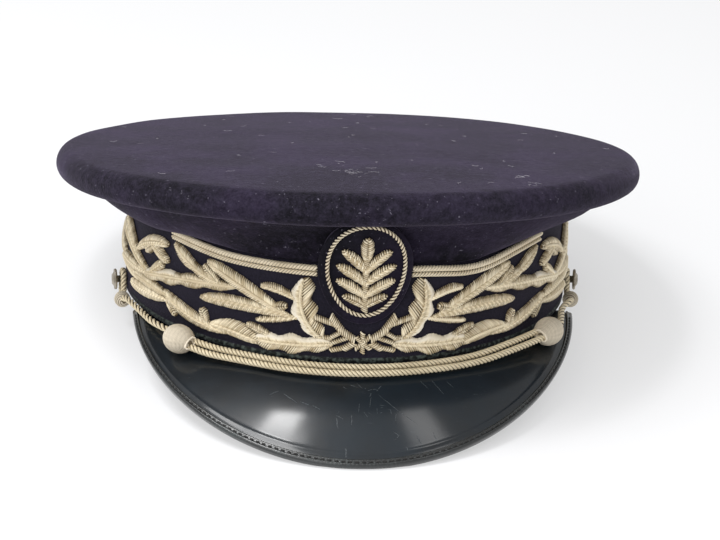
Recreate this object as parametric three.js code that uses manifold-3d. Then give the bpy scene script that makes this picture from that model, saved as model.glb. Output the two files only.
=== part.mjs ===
// A peaked cap with an embroidered band, resting on the edge of its peak and the back of its band.
import * as THREE from "three";
import { mergeVertices } from "three/addons/utils/BufferGeometryUtils.js";
import Module from "manifold-3d";

const wasm = await Module();
wasm.setup();

// Sizes in millimetres and degrees. The cap is drawn as worn: +Z up, the peak towards -Y,
// Z = 0 at the lower edge of the band. Angles round the head start at the middle of the front.
const GAP = 0.3;
const BAND = { halfWidth: 92, halfLength: 109.5, height: 39.8, sideRise: 1, wall: 2.6, splay: 2.7,
  around: 64 };
const SEAM = { lift: 2, from: 30, full: 52, dip: 2.3, dipAt: 28, dipSpread: 10 };
const RIM = { halfWidth: 117, halfLength: 127.9, centreY: -3.35, height: 52.6, frontLift: 15.2, roll: 6.3 };
const CROWN = { wall: 2, dome: 3.5, seam: -120, seamGap: 3.5, backArch: 4, around: 44 };
const FLARE = { up: 0.9, out: 0.45, badgeOut: 2.75, badgeSpread: 22,
  stations: [0, 0.18, 0.4, 0.62, 0.82, 1] };
const SAG = { fadeFrom: 100, fadeTo: 140,
  left: { depth: 3.4, skew: 0.6, from: 40, full: 52 }, right: { depth: 2.2, skew: 1, from: 46, full: 60 } };
const ROPE = { upper: 1.15, lower: 1.05, upperDown: 1.55, lowerDown: 3.95, seat: 0.65, steps: 12,
  leftEnd: 51, rightEnd: 52.5 };
const MOTIF_SHIFT = 1;
const PAD = { halfWidth: 17.4, halfHeight: 22.1, up: 38.4, thick: 3, lean: 0.0061, edge: 0.8, around: 22 };
const RING = { halfWidth: 13.6, halfHeight: 19.2, up: 39.9, radius: 0.85, steps: 22 };
const RELIEF = { height: 1.5, leafSteps: 4, stepsPerLobe: 2, lobeDepth: 0.34 };
const PEAK = { halfWidth: 90.5, aside: 2.4, cornerY: -28, reach: 32.3, cornerDrop: 2.6, drop: 26.8,
  fullness: 0.87, dip: 1.6, rootAngle: 72, end: 85, thickness: 2, bulge: 0.6, rootDepth: 2, flange: 6,
  steps: 30 };
const BINDING = { inner: -1.7, outer: 1.4, half: 1.9, slot: 1.3, slotEnd: 0.6 };
const CORD = { radius: 1.35, sides: 8, stepsPerRow: 2 };
const SLIDE = { along: 7.2, across: 5.8 };
const KNOT = { along: 3.9, across: 3.3 };
const BUTTON = { angle: 81.5, up: 4.3, radius: 4.4, shank: 1.5, neck: 2.4, head: 2.3 };
const REST = { tilt: 7.2, press: 0.7 };

// Leaves of one garland: from the stalk to the tip, along the band from the middle of the front
// and up from its lower edge. The midrib bows to its left, and each half has its own width.
const LEAF_COLUMNS = ["fromAlong", "fromUp", "toAlong", "toUp", "bow", "left", "right", "lobes"];
const GARLAND_LEAVES = [
  [16, 9.8, 22.8, 33.7, -4.2, 6, 4.8, 3],
  [11.5, 7.8, 43.5, 6.4, -0.8, 4.3, 4.2, 3],
  [35.5, 8.6, 46.5, 12, 0, 1.5, 1.4, 0],
  [64, 8, 40.5, 5, -1, 2.2, 4.6, 0],
  [66, 7.6, 68.8, 13.6, 0, 2, 2, 0],
  [56, 6, 93.5, 14, -1.6, 3, 2.6, 0],
  [91, 12.3, 84, 6.2, 0, 1.9, 2, 0],
  [89, 12.8, 122, 13.4, 0.6, 2.4, 2, 0],
  [91, 10.6, 128, 8.2, 0, 2.8, 2.8, 0],
  [25, 17.4, 42.5, 14.3, 0, 1.3, 1.3, 0],
  [27, 17.4, 69.7, 17.8, 1.6, 2.8, 2.6, 0],
  [30, 17.9, 66.2, 33.4, 0.6, 3.6, 2.4, 0],
  [25.5, 24.4, 41, 28.2, 1, 2.2, 1, 0],
  [35.8, 20.4, 29.5, 21.8, 0, 1.6, 1.6, 0],
  [52, 25.6, 112, 16.5, 1.2, 2.8, 3.6, 4],
  [58.5, 25.2, 86, 36, -1.5, 3, 3.2, 2],
  [58.5, 24.8, 68, 31.5, 0, 1.8, 1.8, 0],
  [121, 23.6, 90.5, 34, -2, 2, 3, 0],
  [105, 32, 90, 27, 0.5, 2.2, 2.4, 0],
  [101, 31.6, 109.5, 26.6, 0, 2, 2, 0],
  [105, 18.4, 94, 25.4, 0, 2.3, 2.3, 0],
  [105, 17.6, 147, 14.8, 0, 2.4, 2.2, 0],
  [105, 17.6, 150, 29, 0, 2.8, 2.4, 0],
  [117, 21, 140, 34, 0, 2.6, 2.2, 0],
  [116, 12, 150, 14, 0.4, 2.8, 2.4, 0],
  [141, 15.2, 172, 21.5, 0, 2.8, 2.6, 0],
].map(named(LEAF_COLUMNS));

// Stalks of one garland, as straight stitched bars.
const STALK_COLUMNS = ["fromAlong", "fromUp", "toAlong", "toUp", "half"];
const GARLAND_STALKS = [
  [3.4, 8.2, 7.2, 5.9, 1.2],
  [6, 6.6, 12, 5.2, 0.8],
  [3.4, 9.8, 9.2, 13.8, 1.3],
  [8.2, 13.2, 12.4, 18.6, 1.35],
  [9.5, 15.4, 19, 18.4, 1],
  [8.2, 12.8, 13, 9.9, 0.7],
  [12.4, 10, 18.5, 10.4, 0.7],
  [5.5, 10.6, 13.5, 7.5, 0.7],
].map(named(STALK_COLUMNS));
const KNOT_STALKS = [
  [0, 4.6, 0, 12.3, 0.8],
  [-2.6, 6.2, 2.6, 10.8, 0.8],
  [-2.6, 10.8, 2.6, 6.2, 0.8],
].map(named(STALK_COLUMNS));

// The sprig in the badge, on the same measures.
const SPRIG_LEAVES = [
  [0, 43, 0, 54, 0, 2.1, 2.1, 0],
  [-0.6, 38.2, 8.2, 48.4, 0.6, 1.9, 1.9, 0],
  [0.6, 38.2, -8.2, 48.4, -0.6, 1.9, 1.9, 0],
  [-0.6, 33.2, 10.2, 42, 0.6, 1.9, 1.9, 0],
  [0.6, 33.2, -10.2, 42, -0.6, 1.9, 1.9, 0],
  [-0.6, 28.2, 10.4, 35.6, 0.6, 1.9, 1.9, 0],
  [0.6, 28.2, -10.4, 35.6, -0.6, 1.9, 1.9, 0],
  [-0.6, 24, 8, 28.8, 0.6, 1.7, 1.7, 0],
  [0.6, 24, -8, 28.8, -0.6, 1.7, 1.7, 0],
].map(named(LEAF_COLUMNS));
const SPRIG_STALKS = [[0, 22.6, 0, 46, 1.1]].map(named(STALK_COLUMNS));

// The run of each half of the chin cord, from its loop on its own button to the slide on the far side:
// angle round the head towards its own button, distance out from the band and height.
// Each loop stands off the band and hangs lower or higher by its own amount, and its knot lies farther out.
const CORD_COLUMNS = ["angle", "out", "up"];
const LOOPS = {
  left: { side: -1, stand: 1.8, knotOut: 0.8, drop: 0.6 },
  right: { side: 1, stand: 1.8, knotOut: 1.6, drop: -0.9 },
};
const BUTTON_LOOP = [
  [80.7, 0, -3.4],
  [82.7, 0, 0.2],
  [83.4, 0, 4.2],
  [82.6, 0, 7.1],
  [81.4, 0, 7.9],
  [80.3, 0, 7.1],
  [79.6, 0, 4.2],
  [78.7, 0, 0.6],
];
const KNOT_PLACE = { angle: 77.6, up: -2.2 };
const LEFT_RUN = [
  [74.5, 2.6, -0.3],
  [70, 2.2, 0.5],
  [62, 2.6, 0.4],
  [55, 4.8, 1],
  [43.4, 7.35, 2.05],
  [36, 4.4, 0.1],
  [27, 2.3, -0.5],
  [14, 2.4, -0.7],
  [0, 2.6, -0.8],
  [-14, 2.6, -0.75],
  [-28, 3.3, -0.4],
  [-39, 5.2, 1.7],
  [-50.5, 7.35, 2.95],
];
const RIGHT_RUN = [
  [74, 3.6, 0.1],
  [70, 2.6, 0.5],
  [67, 2.6, 0.7],
  [61, 5.4, 0.9],
  [55.5, 8.8, 1],
  [50.5, 9.9, 1],
  [39, 7.7, -0.3],
  [28, 5.9, -2.2],
  [14, 5.2, -2.4],
  [0, 5.2, -2.5],
  [-14, 5.1, -2.4],
  [-27, 5, -2.2],
  [-36, 7, -1.9],
  [-39.6, 8.6, -0.8],
  [-43.4, 9.9, 0.15],
];
const SLIDES = [
  { name: "slide_left", angle: -43.4, out: 8.6, up: 1.1 },
  { name: "slide_right", angle: 50.5, out: 8.6, up: 1.6 },
];

const MATERIALS = {
  crownCloth: { color: 0x2f2c38, roughness: 0.95, metalness: 0 },
  bandCloth: { color: 0x25242e, roughness: 0.95, metalness: 0 },
  bullion: { color: 0xc6b78f, roughness: 0.5, metalness: 0.35 },
  cord: { color: 0xcab98e, roughness: 0.5, metalness: 0.35 },
  thread: { color: 0xc7bda4, roughness: 0.7, metalness: 0.1 },
  leather: { color: 0x16181b, roughness: 0.3, metalness: 0 },
  button: { color: 0xb4ab98, roughness: 0.45, metalness: 0.6 },
};

function named(columns) {
  return (row) => Object.fromEntries(columns.map((column, i) => [column, row[i]]));
}

function radians(degrees) {
  return (degrees * Math.PI) / 180;
}

// Surfaces of the cap

// A point off the band's outer face, at an angle round the head.
// The band's sides spread towards its lower edge.
function bandPoint(phi, out, up) {
  const spread = BAND.splay * Math.sin(phi) ** 4 * Math.max(0, 1 - up / bandHeight(phi));
  const nx = Math.sin(phi) / BAND.halfWidth;
  const ny = -Math.cos(phi) / BAND.halfLength;
  const scale = (out + spread) / Math.hypot(nx, ny);
  const x = BAND.halfWidth * Math.sin(phi) + nx * scale;
  const y = -BAND.halfLength * Math.cos(phi) + ny * scale;
  return new THREE.Vector3(x, y, up);
}

const HALF_BAND = new THREE.EllipseCurve(0, 0, BAND.halfWidth, BAND.halfLength, -Math.PI / 2, Math.PI / 2);
HALF_BAND.arcLengthDivisions = 400;

// The angle round the head at a distance along the band.
function angleAlong(along) {
  return Math.sign(along) * Math.PI * HALF_BAND.getUtoTmapping(0, Math.abs(along));
}

// Height of the seam over the band, which climbs towards both sides and dips on one side of the front.
function bandHeight(phi) {
  const turn = THREE.MathUtils.radToDeg(Math.atan2(Math.sin(phi), Math.cos(phi)));
  const away = Math.abs(turn);
  const back = 1 - THREE.MathUtils.smoothstep(away, SAG.fadeFrom, SAG.fadeTo);
  const lift = SEAM.lift * THREE.MathUtils.smoothstep(away, SEAM.from, SEAM.full) * back;
  const dip = SEAM.dip * Math.exp(-(((turn - SEAM.dipAt) / SEAM.dipSpread) ** 2));
  return BAND.height + BAND.sideRise * Math.sin(phi) ** 2 + lift - dip;
}

// The upright plane of one section through the crown: its foot on the band and the centre of the rim's roll.
function crownSection(phi) {
  const foot = bandPoint(phi, 0, bandHeight(phi)).setZ(0);
  const x = RIM.halfWidth * Math.sin(phi);
  const y = RIM.centreY - RIM.halfLength * Math.cos(phi);
  const outward = new THREE.Vector3(x, y, 0).sub(foot);
  const reach = outward.length();
  outward.normalize();
  const up = RIM.height + RIM.frontLift * Math.cos(phi);
  return { phi, foot, outward, reach, up };
}

function inSection(section, out, up) {
  const point = section.foot.clone().addScaledVector(section.outward, out);
  point.z = up;
  return point;
}

function onRoll(section, radius, degrees) {
  const angle = radians(degrees);
  return [section.reach + radius * Math.cos(angle), section.up + radius * Math.sin(angle)];
}

// How far the cloth at each side hangs below its plain flare.
function sagAt(turn, t) {
  const { depth, skew, from, full } = turn < 0 ? SAG.left : SAG.right;
  const away = Math.abs(turn);
  const front = THREE.MathUtils.smoothstep(away, from, full);
  const back = 1 - THREE.MathUtils.smoothstep(away, SAG.fadeFrom, SAG.fadeTo);
  return depth * front * back * Math.sin(Math.PI * t ** skew);
}

// Distance out and height of the flaring side, t from the band to the seam.
function flareAt(section, t) {
  const foot = bandHeight(section.phi) + GAP;
  const [seamOut, seamUp] = onRoll(section, RIM.roll, CROWN.seam - CROWN.seamGap);
  const turn = THREE.MathUtils.radToDeg(Math.atan2(Math.sin(section.phi), Math.cos(section.phi)));
  const power = FLARE.out + FLARE.badgeOut * Math.exp(-((turn / FLARE.badgeSpread) ** 2));
  const arch = (CROWN.backArch * (1 - Math.cos(section.phi))) / 2;
  const up = foot + (seamUp - foot) * t ** FLARE.up + arch * Math.sin(Math.PI * t);
  return [seamOut * t ** power, up - sagAt(turn, t)];
}

// How far the cloth at the front stands out from the band's face at a height.
function frontOut(phi, up) {
  const section = crownSection(phi);
  const line = FLARE.stations.map((t) => flareAt(section, t));
  const above = line.findIndex((point) => point[1] > up);
  if (above === 0) return 0;
  const [outA, upA] = line[above - 1];
  const [outB, upB] = line[above];
  return outA + ((outB - outA) * (up - upA)) / (upB - upA);
}

function onBand(along, up, out) {
  return bandPoint(angleAlong(along + MOTIF_SHIFT), out, up);
}

// A point off the front of the badge, which leans out with the crown behind it.
function onBadge(along, up, out) {
  const rise = up - (PAD.up - PAD.halfHeight);
  const round = Math.hypot(along / PAD.halfWidth, (up - PAD.up) / PAD.halfHeight);
  const front = PAD.thick + PAD.lean * rise ** 2 - PAD.edge * round ** 4;
  const slope = Math.hypot(1, 2 * PAD.lean * rise);
  return bandPoint(angleAlong(along + MOTIF_SHIFT), front + out * slope, up);
}

// Solids

// Welds a geometry, drops faces that have closed up and turns the rest outward.
function closed(geometry) {
  const bare = new THREE.BufferGeometry();
  bare.setAttribute("position", geometry.getAttribute("position"));
  bare.setIndex(geometry.index);
  const welded = mergeVertices(bare, 1e-3);
  const position = welded.getAttribute("position");
  const corner = (i) => new THREE.Vector3().fromBufferAttribute(position, i);
  const faces = [];
  let volume = 0;
  for (let i = 0; i < welded.index.count; i += 3) {
    const [a, b, c] = [0, 1, 2].map((k) => welded.index.getX(i + k));
    if (a !== b && b !== c && c !== a) {
      faces.push([a, b, c]);
      volume += corner(a).dot(corner(b).cross(corner(c)));
    }
  }
  const index = faces.flatMap(([a, b, c]) => (volume < 0 ? [a, c, b] : [a, b, c]));
  return welded.setIndex(index);
}

function endFaces(loop, first, reversed) {
  const normal = new THREE.Vector3();
  loop.forEach((point, i) => normal.add(point.clone().cross(loop[(i + 1) % loop.length])));
  if (normal.length() < 1e-3) return [];
  normal.normalize();
  const across = loop[1].clone().sub(loop[0]).normalize();
  const upward = normal.clone().cross(across);
  const flat = loop.map((point) => new THREE.Vector2(point.dot(across), point.dot(upward)));
  const faces = THREE.ShapeUtils.triangulateShape(flat, []);
  return faces.flatMap((face) => (reversed ? [...face].reverse() : face).map((i) => i + first));
}

// A closed skin over sections, each a loop of points. A ring joins its last section to its first.
function skin(sections, ring) {
  const count = sections[0].length;
  const index = [];
  const spans = ring ? sections.length : sections.length - 1;
  for (let i = 0; i < spans; i += 1) {
    const a = i * count;
    const b = ((i + 1) % sections.length) * count;
    for (let j = 0; j < count; j += 1) {
      const k = (j + 1) % count;
      index.push(a + j, a + k, b + k, a + j, b + k, b + j);
    }
  }
  if (!ring) {
    const last = sections.length - 1;
    index.push(...endFaces(sections[0], 0, true), ...endFaces(sections[last], last * count, false));
  }
  return closed(new THREE.BufferGeometry().setFromPoints(sections.flat()).setIndex(index));
}

function solidOf(geometry) {
  const vertProperties = new Float32Array(geometry.getAttribute("position").array);
  const triVerts = new Uint32Array(geometry.index.array);
  return new wasm.Manifold(new wasm.Mesh({ numProp: 3, vertProperties, triVerts }));
}

// A closed geometry from another's points alone.
function bareClosed(geometry) {
  const loose = geometry.index ? geometry.toNonIndexed() : geometry;
  const bare = new THREE.BufferGeometry();
  bare.setAttribute("position", loose.getAttribute("position"));
  return closed(mergeVertices(bare, 1e-3));
}

function geometryOf(solid) {
  const mesh = solid.getMesh();
  const position = new THREE.BufferAttribute(new Float32Array(mesh.vertProperties), 3);
  const index = new THREE.BufferAttribute(new Uint32Array(mesh.triVerts), 1);
  return new THREE.BufferGeometry().setAttribute("position", position).setIndex(index);
}

function round(path, radius, sides, steps) {
  const circle = new THREE.Shape().absarc(0, 0, radius, 0, 2 * Math.PI);
  const options = { steps, curveSegments: sides / 2, bevelEnabled: false, extrudePath: path };
  return bareClosed(new THREE.ExtrudeGeometry(circle, options));
}

function turns(count) {
  return Array.from({ length: count }, (_, i) => (2 * Math.PI * i) / count);
}

function steps(from, to, count) {
  return Array.from({ length: count + 1 }, (_, i) => from + ((to - from) * i) / count);
}

// Crown and band

function crownTop() {
  const outer = steps(CROWN.seam, 90, 6);
  const inner = steps(90, CROWN.seam, 4);
  const inward = [0.3, 0.7, 1];
  const flat = (section, share, drop) => {
    const centre = new THREE.Vector3(0, RIM.centreY, 0);
    const point = inSection(section, section.reach, 0).lerp(centre, share);
    const plane = RIM.height + RIM.frontLift * Math.cos(section.phi) * (1 - share);
    point.z = plane + RIM.roll + CROWN.dome * (1 - (1 - share) ** 2) - drop;
    return point;
  };
  const sections = turns(CROWN.around).map((phi) => {
    const section = crownSection(phi);
    return [
      ...outer.map((angle) => inSection(section, ...onRoll(section, RIM.roll, angle))),
      ...inward.map((share) => flat(section, share, 0)),
      ...[...inward].reverse().map((share) => flat(section, share, CROWN.wall)),
      ...inner.map((angle) => inSection(section, ...onRoll(section, RIM.roll - CROWN.wall, angle))),
    ];
  });
  return skin(sections, true);
}

function crownSide() {
  const sections = turns(CROWN.around).map((phi) => {
    const section = crownSection(phi);
    const outside = FLARE.stations.map((t) => flareAt(section, t));
    const inside = FLARE.stations.map((t, i) => {
      if (t === 0) return [outside[0][0] - CROWN.wall, outside[0][1]];
      if (t === 1) return onRoll(section, RIM.roll - CROWN.wall, CROWN.seam - CROWN.seamGap);
      const [outA, upA] = flareAt(section, t - 0.02);
      const [outB, upB] = flareAt(section, t + 0.02);
      const length = Math.hypot(outB - outA, upB - upA) / CROWN.wall;
      return [outside[i][0] - (upB - upA) / length, outside[i][1] + (outB - outA) / length];
    });
    return [...outside, ...inside.reverse()].map(([out, up]) => inSection(section, out, up));
  });
  return skin(sections, true);
}

function band() {
  const sections = turns(BAND.around).map((phi) => {
    const top = bandHeight(phi);
    return [[0, 0], [0, top], [-BAND.wall, top], [-BAND.wall, 0]].map(([out, up]) => bandPoint(phi, out, up));
  });
  return skin(sections, true);
}

// A rope along the top of the band, from an edge of the badge to where the crown hangs over the band.
function bandRope(radius, down, side, end) {
  const start = angleAlong(MOTIF_SHIFT + side * (PAD.halfWidth + 2 * GAP));
  const points = steps(start, side * radians(end), ROPE.steps).map((phi) =>
    bandPoint(phi, radius + ROPE.seat, bandHeight(phi) - down),
  );
  return round(new THREE.CatmullRomCurve3(points), radius, CORD.sides, ROPE.steps);
}

// Embroidery

// Half-width along a leaf as a share of its widest, with lobes or plain.
function leafShape(t, lobes) {
  const outline = Math.sin(Math.PI * t ** 1.3) ** 0.45;
  if (lobes === 0) return outline;
  const wave = 0.5 + 0.5 * Math.cos(2 * Math.PI * lobes * t);
  return outline ** 0.6 * (1 - RELIEF.lobeDepth * wave);
}

// One raised leaf or bar: a low ridge along a midrib with its two edges on the cloth.
function ridge(from, to, bow, halves, stations, place, mirror, lift) {
  const direction = to.clone().sub(from).normalize();
  const leftward = new THREE.Vector2(-direction.y, direction.x);
  const sections = stations.map(([t, share]) => {
    const middle = from.clone().lerp(to, t).addScaledVector(leftward, 4 * bow * t * (1 - t));
    const at = (side, out) => {
      const point = middle.clone().addScaledVector(leftward, side * share);
      return place(mirror * point.x, point.y, out);
    };
    const base = GAP + lift;
    const crest = base + RELIEF.height * Math.min(1, 2 * share);
    return [at(halves[0], base), at(-halves[1], base), at(0, crest)];
  });
  return solidOf(skin(sections, false));
}

function leafSolid(row, place, mirror, lift) {
  const count = row.lobes === 0 ? RELIEF.leafSteps : RELIEF.stepsPerLobe * row.lobes;
  const stations = steps(0, 1, count).map((t) => [t, t === 0 || t === 1 ? 0 : leafShape(t, row.lobes)]);
  const from = new THREE.Vector2(row.fromAlong, row.fromUp);
  const to = new THREE.Vector2(row.toAlong, row.toUp);
  return ridge(from, to, row.bow, [row.left, row.right], stations, place, mirror, lift);
}

function stalkSolid(row, place, mirror, lift) {
  const from = new THREE.Vector2(row.fromAlong, row.fromUp);
  const to = new THREE.Vector2(row.toAlong, row.toUp);
  return ridge(from, to, 0, [row.half, row.half], [[0, 1], [1, 1]], place, mirror, lift);
}

function embroidery(leaves, stalks, place, mirror) {
  const solids = [
    ...leaves.map((row, i) => leafSolid(row, place, mirror, 0.05 * (i % 4))),
    ...stalks.map((row, i) => stalkSolid(row, place, mirror, 0.03 + 0.05 * (i % 3))),
  ];
  return geometryOf(wasm.Manifold.union(solids));
}

// Badge

function badgePad() {
  const rings = [0, 0.5, 0.82, 1];
  const sections = turns(PAD.around).map((angle) => {
    const at = (share) => [
      PAD.halfWidth * share * Math.sin(angle),
      PAD.up + PAD.halfHeight * share * Math.cos(angle),
    ];
    const front = rings.map((share) => onBadge(...at(share), 0));
    const back = rings.map((share) => {
      const [along, up] = at(share);
      const phi = angleAlong(along + MOTIF_SHIFT);
      return bandPoint(phi, frontOut(phi, up) + 2 * GAP, up);
    });
    return [...front, ...back.reverse()];
  });
  return skin(sections, true);
}

function badgeRope() {
  const sections = turns(RING.steps).map((angle) => {
    const along = RING.halfWidth * Math.sin(angle);
    const up = RING.up + RING.halfHeight * Math.cos(angle);
    const across = new THREE.Vector2(Math.sin(angle) / RING.halfWidth, Math.cos(angle) / RING.halfHeight);
    across.normalize();
    return turns(CORD.sides).map((turn) => {
      const side = RING.radius * Math.cos(turn);
      const out = GAP + RING.radius * (1 + Math.sin(turn));
      return onBadge(along + across.x * side, up + across.y * side, out);
    });
  });
  return skin(sections, true);
}

// Peak

function peakEdge(s) {
  const c = Math.cos(s);
  const reach = BAND.halfLength + PEAK.reach + PEAK.cornerY;
  const x = PEAK.halfWidth * Math.sin(s) + PEAK.aside * (1 - c) ** 2;
  const y = PEAK.cornerY - reach * c ** PEAK.fullness;
  return new THREE.Vector3(x, y, -PEAK.cornerDrop - PEAK.drop * c ** PEAK.dip);
}

// Points down the middle of the leather at one place along the peak, from the part sewn inside the band.
function peakLine(s) {
  const phi = (s * PEAK.rootAngle) / 90;
  const inside = -BAND.wall - 1.5 * GAP - PEAK.thickness / 2;
  const root = bandPoint(phi, 0.3 - BAND.wall, -PEAK.rootDepth);
  const edge = peakEdge(s);
  const slope = [0, 0.2, 0.6, 1].map((t) => {
    const point = root.clone().lerp(edge, t);
    point.z += PEAK.bulge * Math.sin(Math.PI * t);
    return point;
  });
  return [bandPoint(phi, inside, PEAK.flange), bandPoint(phi, inside, -0.6), ...slope];
}

function peakNormal(s, j) {
  const line = peakLine(s);
  const down = line[Math.min(j + 1, line.length - 1)].clone().sub(line[Math.max(j - 1, 0)]);
  const aside = peakLine(s + 0.01)[j].clone().sub(peakLine(s - 0.01)[j]);
  return aside.cross(down).normalize().negate();
}

function peak() {
  const end = radians(PEAK.end);
  const sections = steps(-end, end, PEAK.steps).map((s) => {
    const line = peakLine(s);
    const side = (sign) =>
      line.map((point, j) => point.clone().addScaledVector(peakNormal(s, j), (sign * PEAK.thickness) / 2));
    return [...side(1), ...side(-1).reverse()];
  });
  return skin(sections, false);
}

// The bound edge: a channel that holds the edge of the leather.
function peakBinding() {
  const { inner, outer, half, slot, slotEnd } = BINDING;
  const profile = [
    [inner, slot], [inner, half], [outer - 1, half], [outer, half - 1],
    [outer, 1 - half], [outer - 1, -half], [inner, -half], [inner, -slot],
    [slotEnd, -slot], [slotEnd, slot],
  ];
  const end = radians(PEAK.end);
  const sections = steps(-end, end, PEAK.steps).map((s) => {
    const line = peakLine(s);
    const edge = line[line.length - 1];
    const outward = edge.clone().sub(line[line.length - 2]).normalize();
    const normal = peakNormal(s, line.length - 1);
    return profile.map(([a, b]) => edge.clone().addScaledVector(outward, a).addScaledVector(normal, b));
  });
  return skin(sections, false);
}

// Chin cord

function knotRow({ stand, knotOut, drop }) {
  return [KNOT_PLACE.angle, stand + knotOut, KNOT_PLACE.up - drop];
}

function cordPath(run, loop) {
  const aroundButton = BUTTON_LOOP.map(([angle, out, up]) => [angle, out + loop.stand, up - loop.drop]);
  const rows = [...aroundButton, knotRow(loop), ...run].map(named(CORD_COLUMNS));
  const points = rows.map((row) => bandPoint(loop.side * radians(row.angle), row.out, row.up));
  return new THREE.CatmullRomCurve3(points);
}

// A cord along its path, with its ends longer by a clearance, and more sections where it bends.
function cord(path, radius, clearance) {
  const last = (path.points.length - 1) * CORD.stepsPerRow;
  const sections = steps(0, 1, last).map((t, i) => {
    const point = path.getPoint(t);
    const tangent = path.getTangent(t);
    const outward = new THREE.Vector3(point.x / BAND.halfWidth ** 2, point.y / BAND.halfLength ** 2, 0);
    const first = outward.addScaledVector(tangent, -outward.dot(tangent)).normalize();
    const second = tangent.clone().cross(first);
    if (i === 0) point.addScaledVector(tangent, -clearance);
    if (i === last) point.addScaledVector(tangent, clearance);
    return turns(CORD.sides).map((turn) =>
      point
        .clone()
        .addScaledVector(first, radius * Math.cos(turn))
        .addScaledVector(second, radius * Math.sin(turn)),
    );
  });
  return skin(sections, false);
}

// Axes at a place on the band: along it, out from it and up.
function bandAxes(phi) {
  const outward = bandPoint(phi, 1, 0).sub(bandPoint(phi, 0, 0));
  const upward = new THREE.Vector3(0, 0, 1);
  return new THREE.Matrix4().makeBasis(upward.clone().cross(outward), outward, upward);
}

function woundKnot(size, phi, out, up, cords) {
  const ball = new THREE.SphereGeometry(1, 12, 8);
  ball.rotateZ(Math.PI / 2);
  ball.scale(size.along, size.across, size.across);
  ball.applyMatrix4(bandAxes(phi).setPosition(bandPoint(phi, out, up)));
  return geometryOf(cords.reduce((left, space) => left.subtract(space), solidOf(bareClosed(ball))));
}

function button({ side, stand, drop }) {
  const neck = stand + BUTTON.neck;
  const top = neck + BUTTON.head;
  const profile = [
    [0, GAP], [BUTTON.shank, GAP], [BUTTON.shank, neck], [BUTTON.radius, neck + 0.3],
    [BUTTON.radius, neck + 1.1], [BUTTON.radius * 0.7, top - 0.4], [0, top],
  ].map(([x, y]) => new THREE.Vector2(x, y));
  const phi = side * radians(BUTTON.angle);
  const turned = new THREE.LatheGeometry(profile, 14);
  turned.applyMatrix4(bandAxes(phi).setPosition(bandPoint(phi, 0, BUTTON.up - drop)));
  return bareClosed(turned);
}

// Assembly

const cap = new THREE.Group();
const meshes = new Map();

function add(name, geometry, material) {
  const mesh = new THREE.Mesh(geometry, new THREE.MeshStandardMaterial(MATERIALS[material]));
  mesh.name = name;
  mesh.geometry.rotateX(-radians(REST.tilt));
  meshes.set(name, mesh);
  cap.add(mesh);
}

const paths = {
  left: cordPath(LEFT_RUN, LOOPS.left),
  right: cordPath(RIGHT_RUN, LOOPS.right),
};
const clearances = Object.values(paths).map((path) => solidOf(cord(path, CORD.radius + GAP, GAP)));

add("crown_top", crownTop(), "crownCloth");
add("crown_side", crownSide(), "bandCloth");
add("band", band(), "bandCloth");
add("band_rope_upper_left", bandRope(ROPE.upper, ROPE.upperDown, -1, ROPE.leftEnd), "cord");
add("band_rope_upper_right", bandRope(ROPE.upper, ROPE.upperDown, 1, ROPE.rightEnd), "cord");
add("band_rope_lower_left", bandRope(ROPE.lower, ROPE.lowerDown, -1, ROPE.leftEnd), "cord");
add("band_rope_lower_right", bandRope(ROPE.lower, ROPE.lowerDown, 1, ROPE.rightEnd), "cord");
add("garland_left", embroidery(GARLAND_LEAVES, GARLAND_STALKS, onBand, -1), "bullion");
add("garland_right", embroidery(GARLAND_LEAVES, GARLAND_STALKS, onBand, 1), "bullion");
add("garland_knot", embroidery([], KNOT_STALKS, onBand, 1), "bullion");
add("badge_pad", badgePad(), "bandCloth");
add("badge_rope", badgeRope(), "cord");
add("badge_sprig", embroidery(SPRIG_LEAVES, SPRIG_STALKS, onBadge, 1), "bullion");
add("peak", peak(), "leather");
add("peak_binding", peakBinding(), "leather");
add("chin_cord_left", cord(paths.left, CORD.radius, 0), "cord");
add("chin_cord_right", cord(paths.right, CORD.radius, 0), "cord");
SLIDES.forEach((slide) => {
  const phi = radians(slide.angle);
  add(slide.name, woundKnot(SLIDE, phi, slide.out, slide.up, clearances), "thread");
});
Object.entries(LOOPS).forEach(([hand, loop]) => {
  const [angle, out, up] = knotRow(loop);
  add(`knot_${hand}`, woundKnot(KNOT, loop.side * radians(angle), out, up, clearances), "thread");
  add(`button_${hand}`, button(loop), "button");
});

// The edge of the peak and the back of the band are pressed flat where they rest.
function lowest(name) {
  meshes.get(name).geometry.computeBoundingBox();
  return meshes.get(name).geometry.boundingBox.min.z;
}

const floorUp = Math.max(lowest("band"), lowest("peak_binding")) + REST.press;
const block = new THREE.BoxGeometry(400, 400, 40);
block.translate(0, 0, floorUp - 20);
const floor = solidOf(bareClosed(block));
["band", "peak_binding"].forEach((name) => {
  const mesh = meshes.get(name);
  mesh.geometry = geometryOf(solidOf(mesh.geometry).subtract(floor));
});

// The origin is under the middle of the cap, on the surface that it rests on.
const box = new THREE.Box3().setFromObject(cap);
cap.position.set(-(box.min.x + box.max.x) / 2, -(box.min.y + box.max.y) / 2, -floorUp);

export default cap;
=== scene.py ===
# Looks of a peaked cap with an embroidered band, resting on its peak and the back of its band.
import math
import random
from collections import namedtuple
from types import SimpleNamespace

import bmesh
import bpy
import numpy as np
from mathutils import Matrix, Vector, noise


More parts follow.
